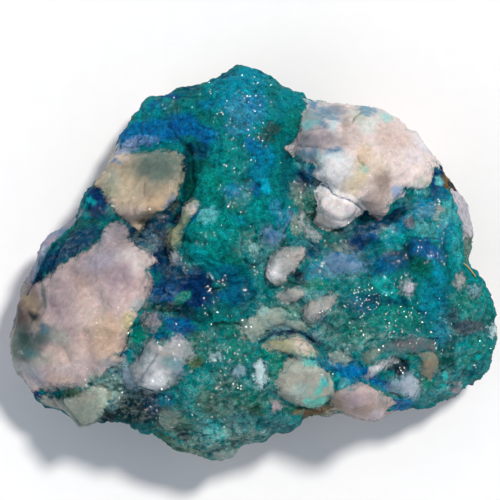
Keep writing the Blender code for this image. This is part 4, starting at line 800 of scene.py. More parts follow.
def faceFields(points, normals):
    # the pieces and patches of the face, as seen from above
    count = len(points)
    steep = smoothStep(0.75, 0.1, normals[:, 2])
    broad, fine = pulled(points, "broad", 1), pulled(points, "fine", 2)
    side = pulled(points, "side", 3) * steep[:, None]
    x, y = (points + broad + fine + side)[:, :2].T
    held = points + broad * pieceShare["broad"] + fine * pieceShare["fine"]
    pieceX, pieceY = (held + side)[:, :2].T
    ragged = wander["ragged"][0] * cloud(points, wander["ragged"][1], 4, 3)

    fields = {
        "quartzEdge": np.full(count, -faraway), "rise": np.zeros(count), "soft": np.full(count, 0.5),
        "clear": np.ones(count), "quartzColour": np.tile(colours["putty"], (count, 1)),
        "haze": np.zeros(count), "seam": np.full(count, faraway),
        "seamColour": np.tile(colours["ink"], (count, 1)),
    }
    for colour, rise, soft, clear, corners in quartzPieces.values():
        values = {"rise": rise, "soft": soft, "clear": clear, "quartzColour": colours[colour]}
        layNearest(fields, insideDistance(pieceX, pieceY, corners), values)
    quartz, teal = fields["quartzColour"], np.tile(colours["teal"], (count, 1))
    fields["quartzColour"] = layPatches(x, y, quartz, quartzTints, softness["tint"], ragged)
    fields["mineralColour"] = layPatches(x, y, teal, mineralPatches, softness["mineral"], ragged)
    for patch in hazePatches:
        fields["haze"] = np.maximum(fields["haze"], patchWeight(x, y, patch, softness["haze"], ragged))
    for colour, halfWidth, line in seams.values():
        distance = lineDistance(pieceX, pieceY, line) - halfWidth
        closer = distance < fields["seam"]
        fields["seam"][closer] = distance[closer]
        fields["seamColour"][closer] = colours[colour]
    return fields


def sideFields(points, lumps):
    # quartz and copper minerals of the sides and the underside
    count = len(points)
    warped = points + pulled(points, "lumpBroad", 6) + pulled(points, "lumpFine", 7)
    fields = {
        "quartzEdge": np.full(count, -faraway), "quartzColour": np.tile(colours["putty"], (count, 1)),
    }
    for name, *body in lumps:
        layNearest(fields, bodyDistance(warped, *body), {"quartzColour": colours[name]})
    mineral = np.tile(colours["deepTeal"], (count, 1))
    for number, name in enumerate(underMinerals):
        weight = smoothStep(0.15, 0.5, cloud(points, 6 + number, 20 + number))
        mineral = blend(mineral, colours[name], weight)
    brown = smoothStep(0.25, 0.7, cloud(points, 9, 33)) * brownShare
    fields["mineralColour"] = blend(mineral, colours["brownRim"], brown)
    return {**fields, **sideLook}


def surfaceFields(points, normals, lumps):
    # everything that depends on where a point of the surface is; points in mm
    waver = underside["waver"] * cloud(points, underside["waverSize"], 12)
    under = smoothStep(underside["starts"], underside["full"], normals[:, 2] + waver)
    fields = faceFields(points, normals)
    for name, value in sideFields(points, lumps).items():
        fields[name] = blend(fields[name], value, under)
    fields["seam"] = fields["seam"] + under * 3
    return fields


def arrayOf(collection, name, width, kind=np.float32):
    values = np.empty(len(collection) * width, kind)
    collection.foreach_get(name, values)
    return values.reshape(-1, width).astype(float if kind == np.float32 else int)


def pairsOf(mesh):
    return arrayOf(mesh.edges, "vertices", 2, np.int32)


def unit(vectors):
    return vectors / np.linalg.norm(vectors, axis=1)[:, None]


def evened(values, pairs, rounds):
    # each vertex moves halfway to the mean of its neighbours, a few times over
    count = len(values)
    ends = np.concatenate([pairs[:, 0], pairs[:, 1]])
    others = np.concatenate([pairs[:, 1], pairs[:, 0]])
    degree = np.maximum(np.bincount(ends, minlength=count), 1)
    for _ in range(rounds):
        columns = [np.bincount(ends, values[others, i], minlength=count) / degree for i in range(3)]
        values = (values + np.stack(columns, axis=1)) / 2
    return values


def placed(name, data):
    thing = bpy.data.objects.new(name, data)
    bpy.context.scene.collection.objects.link(thing)
    return thing


def reshape(mesh, points):
    mesh.vertices.foreach_set("co", points.ravel())
    mesh.update()


def aboveGround(points):
    return np.maximum(points, (-np.inf, -np.inf, 0))


stoneMesh = {
    "voxel": 0.36 * mm, "evenRounds": 16, "normalRounds": 16, "softRounds": 3,
    "triangles": 196000, "belowLevels": 5, "belowFactor": 20,
    "broad": (7.0, 0.40), "lumpy": (3.0, 0.28), "rough": (1.3, 0.08), "grain": (0.7, 0.04),
    "copperFacets": ((3.4, 0.55), (1.5, 0.45)), "quartzFacets": ((5.0, 0.4), (2.0, 0.18)),
    "quartzBroad": (5.0, 0.30), "hackle": (0.8, 0.08),
    "crease": 0.08, "creaseWidth": 0.4, "seamDepth": 0.3, "edgeWaver": (0.9, 0.35), "roundOver": 1.1,
}


def fineStone():
    # the solid's own surface, remeshed finely and carved
    stone = placed("stone", cadStone.data.copy())
    remesh = stone.modifiers.new("even mesh", "REMESH")
    remesh.mode = "VOXEL"
    remesh.voxel_size = stoneMesh["voxel"]
    applyModifiers(stone)
    mesh = stone.data
    pairs = pairsOf(mesh)
    points = evened(arrayOf(mesh.vertices, "co", 3), pairs, stoneMesh["evenRounds"])
    reshape(mesh, points)
    normals = unit(evened(arrayOf(mesh.vertices, "normal", 3), pairs, stoneMesh["softRounds"]))
    broadNormals = evened(normals, pairs, stoneMesh["normalRounds"])
    lumps = list(underPieces.values()) + scattered(points * millimetres, broadNormals)
    print("stone remeshed:", len(points), "points")

    height = relief(points * millimetres, broadNormals, lumps)
    reshape(mesh, aboveGround(points + normals * (height * mm)[:, None]))
    thinOut(stone, smoothStep(-0.6, -0.96, broadNormals[:, 2]))
    reshape(stone.data, aboveGround(arrayOf(stone.data.vertices, "co", 3)))
    print("stone carved:", len(stone.data.polygons), "faces")
    return stone, lumps


def thinOut(stone, below):
    # fewer triangles, most of all where the stone rests
    thin = stone.modifiers.new("thin", "DECIMATE")
    thin.ratio = min(1, stoneMesh["triangles"] / (2 * len(stone.data.polygons)))
    coarse = stone.vertex_groups.new(name="coarse below")
    levels = stoneMesh["belowLevels"]
    for level in range(1, levels + 1):
        band = np.flatnonzero(np.round(below * levels) == level)
        coarse.add(band.tolist(), level / levels, "REPLACE")
    thin.vertex_group = coarse.name
    thin.vertex_group_factor = stoneMesh["belowFactor"]
    applyModifiers(stone)


def applyModifiers(thing):
    mesh = bpy.data.meshes.new_from_object(thing.evaluated_get(bpy.context.evaluated_depsgraph_get()))
    old = thing.data
    thing.modifiers.clear()
    thing.data = mesh
    bpy.data.meshes.remove(old)


# Where the rim stands out or in a little: x, y, reach and how far, mm.
rimSwells = [
    (48, 12.5, 4.0, 0.8), (49, 5, 4.0, 0.8), (34, -33, 3.0, 1.3), (41, -31.5, 3.0, 0.8),
    (50, -27, 4.0, 0.6), (29, -35, 3.0, 0.7), (10, -37, 3.0, 0.7), (-9, -44.5, 4.0, 0.8),
    (-18, -41.5, 4.0, 0.8), (-27, -38, 3.0, 0.6), (-2.4, -41, 2.5, -0.6), (-54, -21, 3.0, 0.5),
    (-50, -30, 3.0, 0.6), (-38, 16.5, 2.5, 0.9), (-34, 21, 2.5, -0.7), (17.5, 8.2, 3.8, 1.0),
    (-24, 37, 3.0, 0.5), (-4, 44, 1.7, 0.9), (-44, 10, 4.0, -0.4), (30, 33, 6.0, -0.6),
    (20, 36, 5.0, -0.6), (-28, 31, 4.0, -0.6), (11, 38, 4.0, -0.5), (-36, 26, 4.0, -0.4),
]


def relief(points, normals, lumps):
    # how far each point stands out, in mm
    fields = surfaceFields(points, normals, lumps)
    size, waver = stoneMesh["edgeWaver"]
    edge = fields["quartzEdge"] + waver * cloud(points, size, 15)
    copper = np.zeros(len(points))
    for number, name in enumerate(("broad", "lumpy", "rough", "grain")):
        size, high = stoneMesh[name]
        copper += high * cloud(points, size, 40 + number)
    for size, high in stoneMesh["copperFacets"]:
        copper += high * cellFacets(points, size, 3)

    roundness = 1 - np.exp(-np.clip(edge, 0, None) / stoneMesh["roundOver"])
    streaks = points @ np.array([[0.8, -0.6, 0], [0.2, 0.27, 0], [0, 0, 0.5]]).T
    quartz = np.zeros(len(points))
    for number, (name, places) in enumerate((("quartzBroad", points), ("hackle", streaks))):
        size, high = stoneMesh[name]
        quartz += high * cloud(places, size, 50 + number)
    quartz += fields["rise"] * roundness
    for size, high in stoneMesh["quartzFacets"]:
        quartz += high * cellFacets(points, size, 4)

    crease = stoneMesh["crease"] * np.exp(-((edge + 0.15) / stoneMesh["creaseWidth"]) ** 2)
    seam = stoneMesh["seamDepth"] * smoothStep(0.5, -0.1, fields["seam"])
    wall = smoothStep(0.99, 0.75, normals[:, 2])
    swell = sum(
        push * np.exp(-((points[:, 0] - x) ** 2 + (points[:, 1] - y) ** 2) / reach ** 2)
        for x, y, reach, push in rimSwells
    )
    return blend(copper, quartz, smoothStep(-0.2, 0.25, edge)) - crease - seam + swell * wall


def paintStone(stone, lumps):
    # the fields that the stone's material reads
    mesh = stone.data
    pairs = pairsOf(mesh)
    points = arrayOf(mesh.vertices, "co", 3)
    normals = arrayOf(mesh.vertices, "normal", 3)
    fields = surfaceFields(points * millimetres, evened(normals, pairs, stoneMesh["normalRounds"]), lumps)
    # how far each point sits below its neighbours; the material darkens these hollows as painted shade
    hollow = (evened(points, pairs, 6) - points) * evened(normals, pairs, 2)
    fields["hollow"] = hollow.sum(axis=1) * millimetres
    fields["tone"] = np.ones(len(points))
    storeFields(mesh, fields)
    mesh.polygons.foreach_set("use_smooth", np.ones(len(mesh.polygons), bool))
    print("stone painted")


def storeFields(mesh, fields):
    for name in ("quartzEdge", "soft", "clear", "seam", "haze", "hollow", "tone"):
        layer = mesh.attributes.new(name, "FLOAT", "POINT")
        layer.data.foreach_set("value", fields[name].astype(np.float32))
    for name in ("quartzColour", "mineralColour", "seamColour"):
        layer = mesh.attributes.new(name, "FLOAT_COLOR", "POINT")
        values = np.concatenate([fields[name], np.ones((len(fields[name]), 1))], axis=1)
        layer.data.foreach_set("color", values.astype(np.float32).ravel())


class Wire:
    # a shader socket that can be written into sums
    def __init__(self, socket):
        self.socket = socket

    def maths(self, operation, first, second):
        tree = self.socket.id_data
        node = tree.nodes.new("ShaderNodeMath")
        node.operation = operation
        for slot, value in zip(node.inputs, (first, second)):
            plug(tree, slot, value)
        return Wire(node.outputs[0])

    def __add__(self, other):
        return self.maths("ADD", self, other)

    def __radd__(self, other):
        return self.maths("ADD", other, self)

    def __sub__(self, other):
        return self.maths("SUBTRACT", self, other)

    def __rsub__(self, other):
        return self.maths("SUBTRACT", other, self)

    def __mul__(self, other):
        return self.maths("MULTIPLY", self, other)

    def __rmul__(self, other):
        return self.maths("MULTIPLY", other, self)


def plug(tree, slot, value):
    if isinstance(value, Wire):
        tree.links.new(value.socket, slot)
    else:
        slot.default_value = value


class Recipe:
    # the node tree of a material or of the sky
    def __init__(self, owner):
        owner.use_nodes = True
        self.owner = owner
        self.tree = owner.node_tree
        self.tree.nodes.clear()

    def add(self, kind, settings=None, inputs=None, output=0):
        node = self.tree.nodes.new("ShaderNode" + kind)
        for name, value in (settings or {}).items():
            setattr(node, name, value)
        for name, value in (inputs or {}).items():
            plug(self.tree, node.inputs[name], value)
        return Wire(node.outputs[output])

    def places(self, stretch=(1, 1, 1), turn=0):
        # object coordinates in mm, turned about Z and stretched
        spot = self.add("TexCoord", output="Object")
        scale = tuple(millimetres * value for value in stretch)
        if turn:
            spot = self.add(
                "VectorRotate", {"rotation_type": "Z_AXIS"}, {"Vector": spot, "Angle": math.radians(turn)}
            )
        return self.add("VectorMath", {"operation": "MULTIPLY"}, {0: spot, 1: scale})

    def cloud(self, spot, size, detail=3, roughness=0.55):
        inputs = {"Vector": spot, "Scale": 1 / size, "Detail": detail, "Roughness": roughness}
        return self.add("TexNoise", None, inputs)

    def cells(self, spot, size, feature="F1", output="Distance"):
        inputs = {"Vector": spot, "Scale": 1 / size}
        return self.add("TexVoronoi", {"feature": feature}, inputs, output)

    def step(self, value, low, high, start=0.0, end=1.0):
        inputs = {0: value, "From Min": low, "From Max": high, "To Min": start, "To Max": end}
        return self.add("MapRange", {"interpolation_type": "SMOOTHSTEP"}, inputs)

    def mark(self, value, name):
        return self.step(value, *levels[name])

    def number(self, name):
        return self.add("Attribute", {"attribute_name": name}, None, "Fac")

    def colour(self, name):
        return self.add("Attribute", {"attribute_name": name}, None, "Color")

    def mix(self, factor, first, second, blend="MIX"):
        inputs = {"Factor": factor, 6: first, 7: second}
        settings = {"data_type": "RGBA", "blend_type": blend, "clamp_factor": True}
        return self.add("Mix", settings, inputs, 2)

    def lit(self, colour, strength):
        # a colour made brighter or darker by a number
        return self.add("VectorMath", {"operation": "SCALE"}, {0: colour, "Scale": strength})

    def finish(self, shader, kind="OutputMaterial"):
        output = self.tree.nodes.new("ShaderNode" + kind)
        self.tree.links.new(shader.socket, output.inputs["Surface"])
        return self.owner


# Noise sizes in mm, each with its detail and roughness.
noiseSizes = {
    "broad": (3.2, 5, 0.62), "middle": (1.1, 4, 0.6), "fine": (0.42, 3, 0.6), "salt": (0.27, 2, 0.7),
    "worn": (1.7, 5, 0.65),
}
copperLook = {
    "roughness": 0.62, "specular": 0.04, "bump": 0.5, "bumpHeight": 0.22 * mm, "saturation": 1.12,
    "shade": {"broad": 0.64, "middle": 0.26, "fine": 0.44, "chips": 0.44},
    "brightChips": 0.30, "darkSpecks": 0.6, "sparkleFlecks": 0.8, "shadeNearQuartz": 0.10, "haze": 0.62,
    "paintedGlitter": 0.9, "darkSalt": 0.15, "seam": 0.75, "hollow": 0.45,
    "hues": (((0.52, 0.62), (0.488, 1.0, 0.95)), ((0.46, 0.36), (0.512, 1.03, 0.97))),
}
quartzLook = {
    "roughness": 0.50, "specular": 0.25, "bump": 0.45, "bumpHeight": 0.16 * mm,
    "glow": 0.30, "glowDepth": 1.1 * mm,
    "shade": {"broad": 0.24, "middle": 0.44, "streaks": 0.20, "fine": 0.20, "chips": 0.12}, "body": 0.42,
    "salt": 0.16, "grains": 0.05, "film": 0.6, "veins": 0.75, "seam": 0.75, "hollow": 0.3,
}


# Noises in a frame of their own: stretch, turn in degrees, then size, detail and roughness.
turnedNoises = {
    "other": ((1, 1, 1), 40, 2.1, 4, 0.6), "milky": ((1, 1.3, 1), -25, 1.5, 6, 0.68),
    "streaks": ((1, 0.22, 0.5), 52, 0.7, 3, 0.6),
}
# Where each mark begins and where it is full, on the noise or the distance in mm that it follows.
levels = {
    "hollow": (-0.10, 0.16), "seam": (0.2, -0.1), "worn": (0.62, 0.42),
    "brightChips": (0.60, 0.78), "darkSpecks": (0.43, 0.34), "speckAreas": (0.58, 0.44),
    "sparkleFlecks": (0.58, 0.68), "fleckAreas": (0.45, 0.58), "shadeNearQuartz": (-1.1, -0.1),
    "haze": (0.48, 0.70), "paintedGlitter": (0.54, 0.68), "darkSalt": (0.44, 0.30),
    "grains": (0.3, 0.8), "film": (2.2, 0.1), "filmAreas": (0.50, 0.60),
    "veins": (0.07, 0.0), "veinReach": (3.4, 0.4), "veinAreas": (0.47, 0.56),
}


def noises(r):
    # the noises and cells that both minerals share
    spot = r.places()
    n = {name: r.cloud(spot, *values) for name, values in noiseSizes.items()}
    for name, (stretch, turn, *values) in turnedNoises.items():
        n[name] = r.cloud(r.places(stretch, turn), *values)
    pull = r.add("TexNoise", None, {"Vector": spot, "Scale": 0.9, "Detail": 2}, "Color")
    bent, swirl = (
        r.add("VectorMath", {"operation": "MULTIPLY_ADD"}, {0: pull, 1: (reach,) * 3, 2: spot})
        for reach in (1.8, 5.5)
    )
    n["grains"] = r.cells(bent, 0.6)
    n["chips"] = r.cells(swirl, 0.7, "F1", "Color") * 0.3 + r.cells(bent, 0.32, "F1", "Color") * 0.7
    n["cracks"] = r.cells(bent, 2.4, "DISTANCE_TO_EDGE")
    return n


def shaded(n, shares, start=0.0):
    return sum((n[name] * share for name, share in shares.items()), start)


def borderOf(r, n):
    # how far inside the quartz a point lies, and how much of the colour is quartz
    soft, clear = r.number("soft"), r.number("clear")
    edge = r.number("quartzEdge") + (n["other"] - 0.5) * (soft * 2.4)
    edge = edge + (n["middle"] - 0.5) * (soft * 2.0 + 0.5) + (n["fine"] - 0.5) * (soft * 0.8 + 0.25)
    worn = r.mark(n["worn"], "worn")
    return edge, r.step(edge, soft * -0.45, soft * 0.45) * (clear + (1 - clear) * worn)


def copperColour(r, n, edge):
    plain = copper = r.colour("mineralColour")
    for (low, high), (hue, saturation, value) in copperLook["hues"]:
        inputs = {"Hue": hue, "Saturation": saturation, "Value": value, "Color": plain}
        copper = r.mix(r.step(n["other"], low, high), copper, r.add("HueSaturation", None, inputs))
    copper = r.lit(copper, shaded(n, copperLook["shade"]))
    copper = r.lit(copper, 1 + r.mark(n["chips"], "brightChips") * copperLook["brightChips"])
    specks = r.mark(n["middle"] + (n["chips"] - 0.5) * 0.12, "darkSpecks")
    specks = specks * r.mark(n["broad"], "speckAreas") * copperLook["darkSpecks"]
    copper = r.mix(specks, copper, (*colours["ink"], 1))
    # light flecks: partly paler grains, partly painted sparkle of the druse crystals
    sparkleFlecks = r.mark(n["fine"], "sparkleFlecks") * r.mark(n["middle"], "fleckAreas")
    copper = r.lit(copper, 1 + sparkleFlecks * copperLook["sparkleFlecks"])
    # darker copper just outside each quartz piece: painted contact shade where the quartz stands up from
    # it
    copper = r.lit(copper, 1 - r.mark(edge, "shadeNearQuartz") * copperLook["shadeNearQuartz"])
    copper = r.add("HueSaturation", None, {"Saturation": copperLook["saturation"], "Color": copper})
    haze = r.number("haze")
    thin = r.mark(n["milky"] * 0.7 + n["broad"] * 0.3 + haze * 0.12, "haze") * haze
    milk = r.lit(tuple(colours["haze"]), 0.35 + n["middle"] * 0.7 + n["fine"] * 0.6)
    copper = r.mix(thin * copperLook["haze"], copper, milk)
    # tiny white specks are painted glitter; tiny dark specks darken the colour
    salt = r.mark(n["salt"], "paintedGlitter") * copperLook["paintedGlitter"]
    return r.lit(copper, 1 + salt - r.mark(n["salt"], "darkSalt") * copperLook["darkSalt"])


def quartzColour(r, n, edge):
    mineral = r.colour("mineralColour")
    milk = shaded(n, quartzLook["shade"], quartzLook["body"]) + (n["salt"] - 0.5) * quartzLook["salt"]
    quartz = r.lit(r.colour("quartzColour"), milk - r.mark(n["grains"], "grains") * quartzLook["grains"])
    film = r.mark(edge, "film") * r.mark(n["other"], "filmAreas")
    quartz = r.mix(film * quartzLook["film"], quartz, mineral)
    veins = r.mark(n["cracks"], "veins") * r.mark(edge, "veinReach") * r.mark(n["broad"], "veinAreas")
    return r.mix(veins * quartzLook["veins"], quartz, r.lit(mineral, 0.8))


def mineralShader(r, colour, look, roughness, bump, seam, hollow, gloss):
    # one of the two minerals; the crystals that sit on the stone have a gloss of their own
    # seams take their own colour: cracks in the stone, and painted shadow along the feet and grooves
    colour = r.mix(seam * look["seam"], colour, r.colour("seamColour"))
    # the base colour is made darker in hollows: painted shade
    inputs = {"Base Color": r.lit(colour, (1 - hollow * look["hollow"]) * r.number("tone"))}
    if gloss:
        inputs.update({"Roughness": gloss["roughness"], "Specular IOR Level": gloss["specular"]})
    else:
        inputs["Roughness"] = look["roughness"] + (roughness - 0.5) * 0.3
        inputs["Specular IOR Level"] = look["specular"]
        relief = {"Strength": look["bump"], "Distance": look["bumpHeight"], "Height": bump}
        inputs["Normal"] = r.add("Bump", None, relief)
        if "glow" in look:
            inputs.update({"Subsurface Weight": look["glow"], "Subsurface Scale": look["glowDepth"]})
    return r.add("BsdfPrincipled", None, inputs)


def stoneMaterial(name, gloss=None):
    r = Recipe(bpy.data.materials.new(name))
    n = noises(r)
    edge, quartz = borderOf(r, n)
    hollow = r.mark(r.number("hollow"), "hollow")
    line = r.number("seam") + (n["fine"] - 0.5) * 0.35 + (n["middle"] - 0.5) * 0.3
    shared = (r.mark(line, "seam"), hollow, gloss)
    copperBump = n["middle"] * 0.2 + n["fine"] * 0.5 - n["grains"] * 0.3 + n["chips"] * 0.5
    quartzBump = n["streaks"] * 0.6 + n["fine"] * 0.5
    copper = mineralShader(r, copperColour(r, n, edge), copperLook, n["fine"], copperBump, *shared)
    clear = mineralShader(r, quartzColour(r, n, edge), quartzLook, n["middle"], quartzBump, *shared)
    return r.finish(r.add("MixShader", None, {"Fac": quartz, 1: copper, 2: clear}))


# Clusters of druse whose crystals catch the light: x, y, spread and how many, mm.
glintClusters = [
    (-35.5, 12.7, 0.2, 2), (-36.9, 10.9, 0.7, 6), (-32.1, 10.9, 0.2, 2), (-32.5, 12.7, 1.4, 10),
    (-31.2, 13.4, 1.1, 6), (-26, 11.6, 2.7, 11), (-24.6, 11.6, 0.3, 4), (-26.2, 19.5, 0.2, 3),
    (-27.1, 24.3, 0.2, 2), (-33.9, 16.1, 0.2, 1), (-18.3, 16.1, 0.6, 4), (-31.9, -13.6, 2.9, 13),
    (-33.9, -13.4, 0.7, 4), (-34.6, -17, 0.9, 4), (-53.2, -19.1, 1.4, 9), (-28.9, -15.2, 0.9, 5),
    (-26.2, -17.7, 0.3, 3), (-27.8, -15, 0.2, 1), (-34.8, -27.4, 2.3, 12), (-33, -29, 0.7, 4),
    (-30.1, -29.7, 0.7, 4), (-27.8, -25.9, 1.4, 4), (-23.9, -27.4, 0.5, 5), (-22.1, -26.8, 1.6, 16),
    (-20.1, -20, 1.8, 16), (-17.1, -20.9, 1.1, 8), (-17.1, -18.6, 0.7, 5), (-21.9, -17.9, 0.7, 3),
    (-19.8, -29, 1.4, 8), (-22.1, -34, 1.6, 9), (-18.3, -37.9, 1.1, 7), (-18, -14.7, 1.1, 5),
    (-15.3, -0.7, 0.9, 8), (-9.6, -3.4, 0.7, 4), (-8.3, -4.5, 1.8, 18), (-1.9, -6.8, 0.7, 6),
    (-9.9, -6.4, 0.2, 2), (-9.2, -9.5, 1.6, 10), (-9.4, -13.6, 0.3, 3), (-11.2, -16.8, 0.5, 4),
    (-7.1, -18.8, 3.2, 22), (-4.9, -21.5, 2, 14), (-2.2, -20, 1.4, 10), (-8.3, -29.5, 1.1, 9),
    (-11.9, -34, 2, 14), (-8.5, -37.6, 2.5, 18), (-4, -27.9, 1.1, 5), (0.1, -26.1, 0.5, 3),
    (2.2, -28.4, 0.3, 4), (5.3, -27.7, 0.3, 2), (-6.7, -25.6, 1.8, 8), (-13.7, -24, 0.5, 2),
    (-1.7, 21.1, 0.7, 5), (-4.6, 20.6, 1.6, 8), (-0.3, 22.5, 0.7, 4), (-3.1, 13.4, 1.8, 14),
    (-1.5, 14.3, 0.5, 5), (-1.2, 16.8, 1.1, 6), (-4.9, 15.2, 2, 10), (-12.8, 23.8, 0.3, 3),
    (-9.9, 21.1, 0.2, 2), (-11.2, 5, 1.1, 10), (-8.5, 5.9, 0.2, 3), (-6.9, 7.9, 0.3, 2),
    (-10.3, 38.6, 1.4, 6), (-8.5, 39.2, 0.7, 4), (-13.5, 34.5, 0.3, 4), (-18.5, 35.2, 1.4, 8),
    (-3.7, 37.9, 0.3, 3), (-1.2, 36.3, 0.9, 6), (-1.9, 31.1, 5, 34), (0.3, 37.9, 3.6, 14),
    (1.9, 27.4, 0.3, 3), (4.6, -2.9, 2, 26), (3.3, -3.6, 0.9, 8), (6.9, -5, 0.7, 5),
    (13.9, -0.7, 1.6, 10), (14.4, -3.4, 0.9, 14), (14.4, -9.5, 1.1, 14), (7.8, -12.5, 1.1, 6),
    (9.9, -7.9, 0.2, 2), (11, -3.6, 0.7, 3), (18.5, 5, 2, 11), (15.5, 0, 0.5, 3), (18.3, -0.7, 0.5, 2),
    (24.2, 10, 0.9, 3), (30.1, 6.4, 2, 12), (31.4, 1.4, 2, 14), (21, -3.2, 0.7, 4),
    (24.2, -6.4, 1.6, 14), (26.9, -5.9, 2.3, 14), (33.7, -5, 1.8, 11), (29.8, -11.8, 5.9, 44),
    (34.4, -14.5, 3.2, 20), (25.3, -13.6, 3.6, 18), (29.6, -15.2, 1.6, 11), (20.5, -20, 1.4, 12),
    (22.8, -17.2, 0.9, 4), (41.6, -16.1, 2.5, 17), (40.7, -19.1, 0.8, 7), (42.8, -12.2, 0.2, 2),
    (33, -24, 0.6, 6), (37.1, -27, 0.7, 7), (39.1, -29.3, 0.9, 4), (17.4, -17, 0.2, 3),
    (32.1, 21.8, 1.1, 5), (30.1, 14.1, 0.2, 3), (21.7, 9.3, 0.7, 2), (41.2, 13.4, 0.5, 3),
    (42.8, 9.1, 1.8, 8), (40, 2.3, 2.7, 12), (36.9, 3.9, 0.7, 3), (22.3, -8.6, 1.8, 6),
    (10.8, 16.8, 1.4, 7), (9.2, 13.2, 1.4, 6), (6, 10, 0.7, 4), (0.3, -0.9, 0.9, 4), (1, -3.6, 0.9, 4),
    (19.6, -9.8, 4.5, 8), (50.2, -18.8, 3.2, 8), (47.3, -13.6, 0.7, 3), (17.4, -24.9, 1.8, 6),
    (-3.1, -15.4, 2, 7), (-19.8, -38.1, 0.9, 3), (-23.5, -32.4, 1.8, 5), (-30.7, -25.9, 0.7, 3),
]

keyLight = {"azimuth": 48, "elevation": 56, "softness": 9, "strength": 2.75, "colour": (1.0, 0.96, 0.91)}
fillLight = {
    "azimuth": 215, "elevation": 40, "softness": 40, "strength": 0.35, "colour": (0.80, 0.88, 1.0),
}
sky = {"colour": (0.84, 0.90, 1.0), "sides": 0.62, "zenith": 0.20, "sidesEnd": 0.6, "zenithStart": 0.95}


def directionOf(lamp):
    a, e = math.radians(lamp["azimuth"]), math.radians(lamp["elevation"])
    return Vector((math.cos(e) * math.cos(a), math.cos(e) * math.sin(a), math.sin(e)))


druse = {
    "seed": 21, "lean": 0.42, "sink": 0.25, "onCopper": 0.45, "onQuartz": 0.3, "roughness": 0.12,
    "brightness": (0.85, 1.5), "facetSlope": 34, "offGround": 0.5 * mm, "faceSlope": 0.25,
    "patchSize": 4, "patchy": 0.6,
}
druseParts = {
    "druse_on_the_face": {
        "candidates": 90000, "limit": 32000, "sizes": (0.10, 0.24), "facing": True, "specular": 0.15,
    },
    "druse_on_the_sides": {
        "candidates": 60000, "limit": 22000, "sizes": (0.12, 0.34), "facing": False, "specular": 0.6,
    },
    "bright_druse": {
        "candidates": 12000, "limit": 3600, "sizes": (0.10, 0.18), "facing": True, "specular": 1.0,
    },
}
# tone makes the glinting crystals lighter than the stone beneath: a painted highlight beside the real
# mirror glint of their facets
glint = {
    "tilt": 2.0, "sizes": (0.06, 0.145), "share": 4.2, "spread": 1.5, "apart": 0.5 * mm, "tone": 1.3,
    "roughness": 0.08, "specular": 1.0,
}


def surfaceSpots(stone, count, rng):
    # places spread evenly over the stone, with the surface's direction there
    mesh = stone.data
    mesh.calc_loop_triangles()
    corners = arrayOf(mesh.loop_triangles, "vertices", 3, np.int32)
    points = arrayOf(mesh.vertices, "co", 3)
    a, b, c = points[corners[:, 0]], points[corners[:, 1]], points[corners[:, 2]]
    area = np.linalg.norm(np.cross(b - a, c - a), axis=1)
    chosen = rng.choice(len(area), count, p=area / area.sum())
    u, v = rng.random((2, count, 1))
    flip = (u + v > 1)
    u, v = np.where(flip, 1 - u, u), np.where(flip, 1 - v, v)
    places = a[chosen] * (1 - u - v) + b[chosen] * u + c[chosen] * v
    normals = evened(arrayOf(mesh.vertices, "normal", 3), pairsOf(mesh), 4)
    return places, unit(normals[corners[chosen, 0]])


def druseCrystals(stone, lumps, name):
    part = druseParts[name]
    rng = np.random.default_rng(druse["seed"] + list(druseParts).index(name))
    places, directions = surfaceSpots(stone, part["candidates"], rng)
    offGround = places[:, 2] > druse["offGround"]
    mine = np.flatnonzero(((directions[:, 2] > druse["faceSlope"]) == part["facing"]) & offGround)
    mine = mine[:part["limit"] * 2]
    places, directions = places[mine], directions[mine]
    fields = surfaceFields(places * millimetres, directions, lumps)
    quartz = smoothStep(-fields["soft"], fields["soft"], fields["quartzEdge"])
    patchy = smoothStep(-0.5, 0.5, cloud(places * millimetres, druse["patchSize"], 61))
    wanted = druse["onCopper"] * (1 - quartz) + druse["onQuartz"] * quartz
    wanted = wanted * (1 - druse["patchy"] + druse["patchy"] * patchy)
    kept = np.flatnonzero(rng.random(len(places)) < wanted)[:part["limit"]]
    places, directions = places[kept], directions[kept]
    fields = {field: values[kept] for field, values in fields.items()}
    fields["tone"] = rng.uniform(*druse["brightness"], len(kept))
    sizes = rng.uniform(*part["sizes"], len(kept)) * mm
    axes = unit(directions + rng.normal(0, druse["lean"], (len(kept), 3)))
    turns = rng.uniform(0, math.tau, len(kept))
    return crystalPiece(name, places, axes, sizes, turns, fields)


def glintCrystals(stone, lumps):
    rng = np.random.default_rng(druse["seed"] + 9)
    places, facets, sideways = glintSpots(stone, rng)
    slope = math.radians(druse["facetSlope"])
    axes = facets * math.cos(slope) + sideways * math.sin(slope)
    # the turn that brings the first facet round to face along -sideways
    first, second = aroundAxis(axes)
    towards = -sideways
    turns = np.arctan2((towards * second).sum(axis=1), (towards * first).sum(axis=1)) - math.tau / 12
    fields = surfaceFields(places * millimetres, np.tile([0.0, 0, 1], (len(places), 1)), lumps)
    # glinting crystals painted lighter than the stone: painted highlight
    fields["tone"] = np.full(len(places), glint["tone"])
    sizes = rng.uniform(*glint["sizes"], len(places)) * mm
    return crystalPiece("glinting_druse", places, axes, sizes, turns, fields)


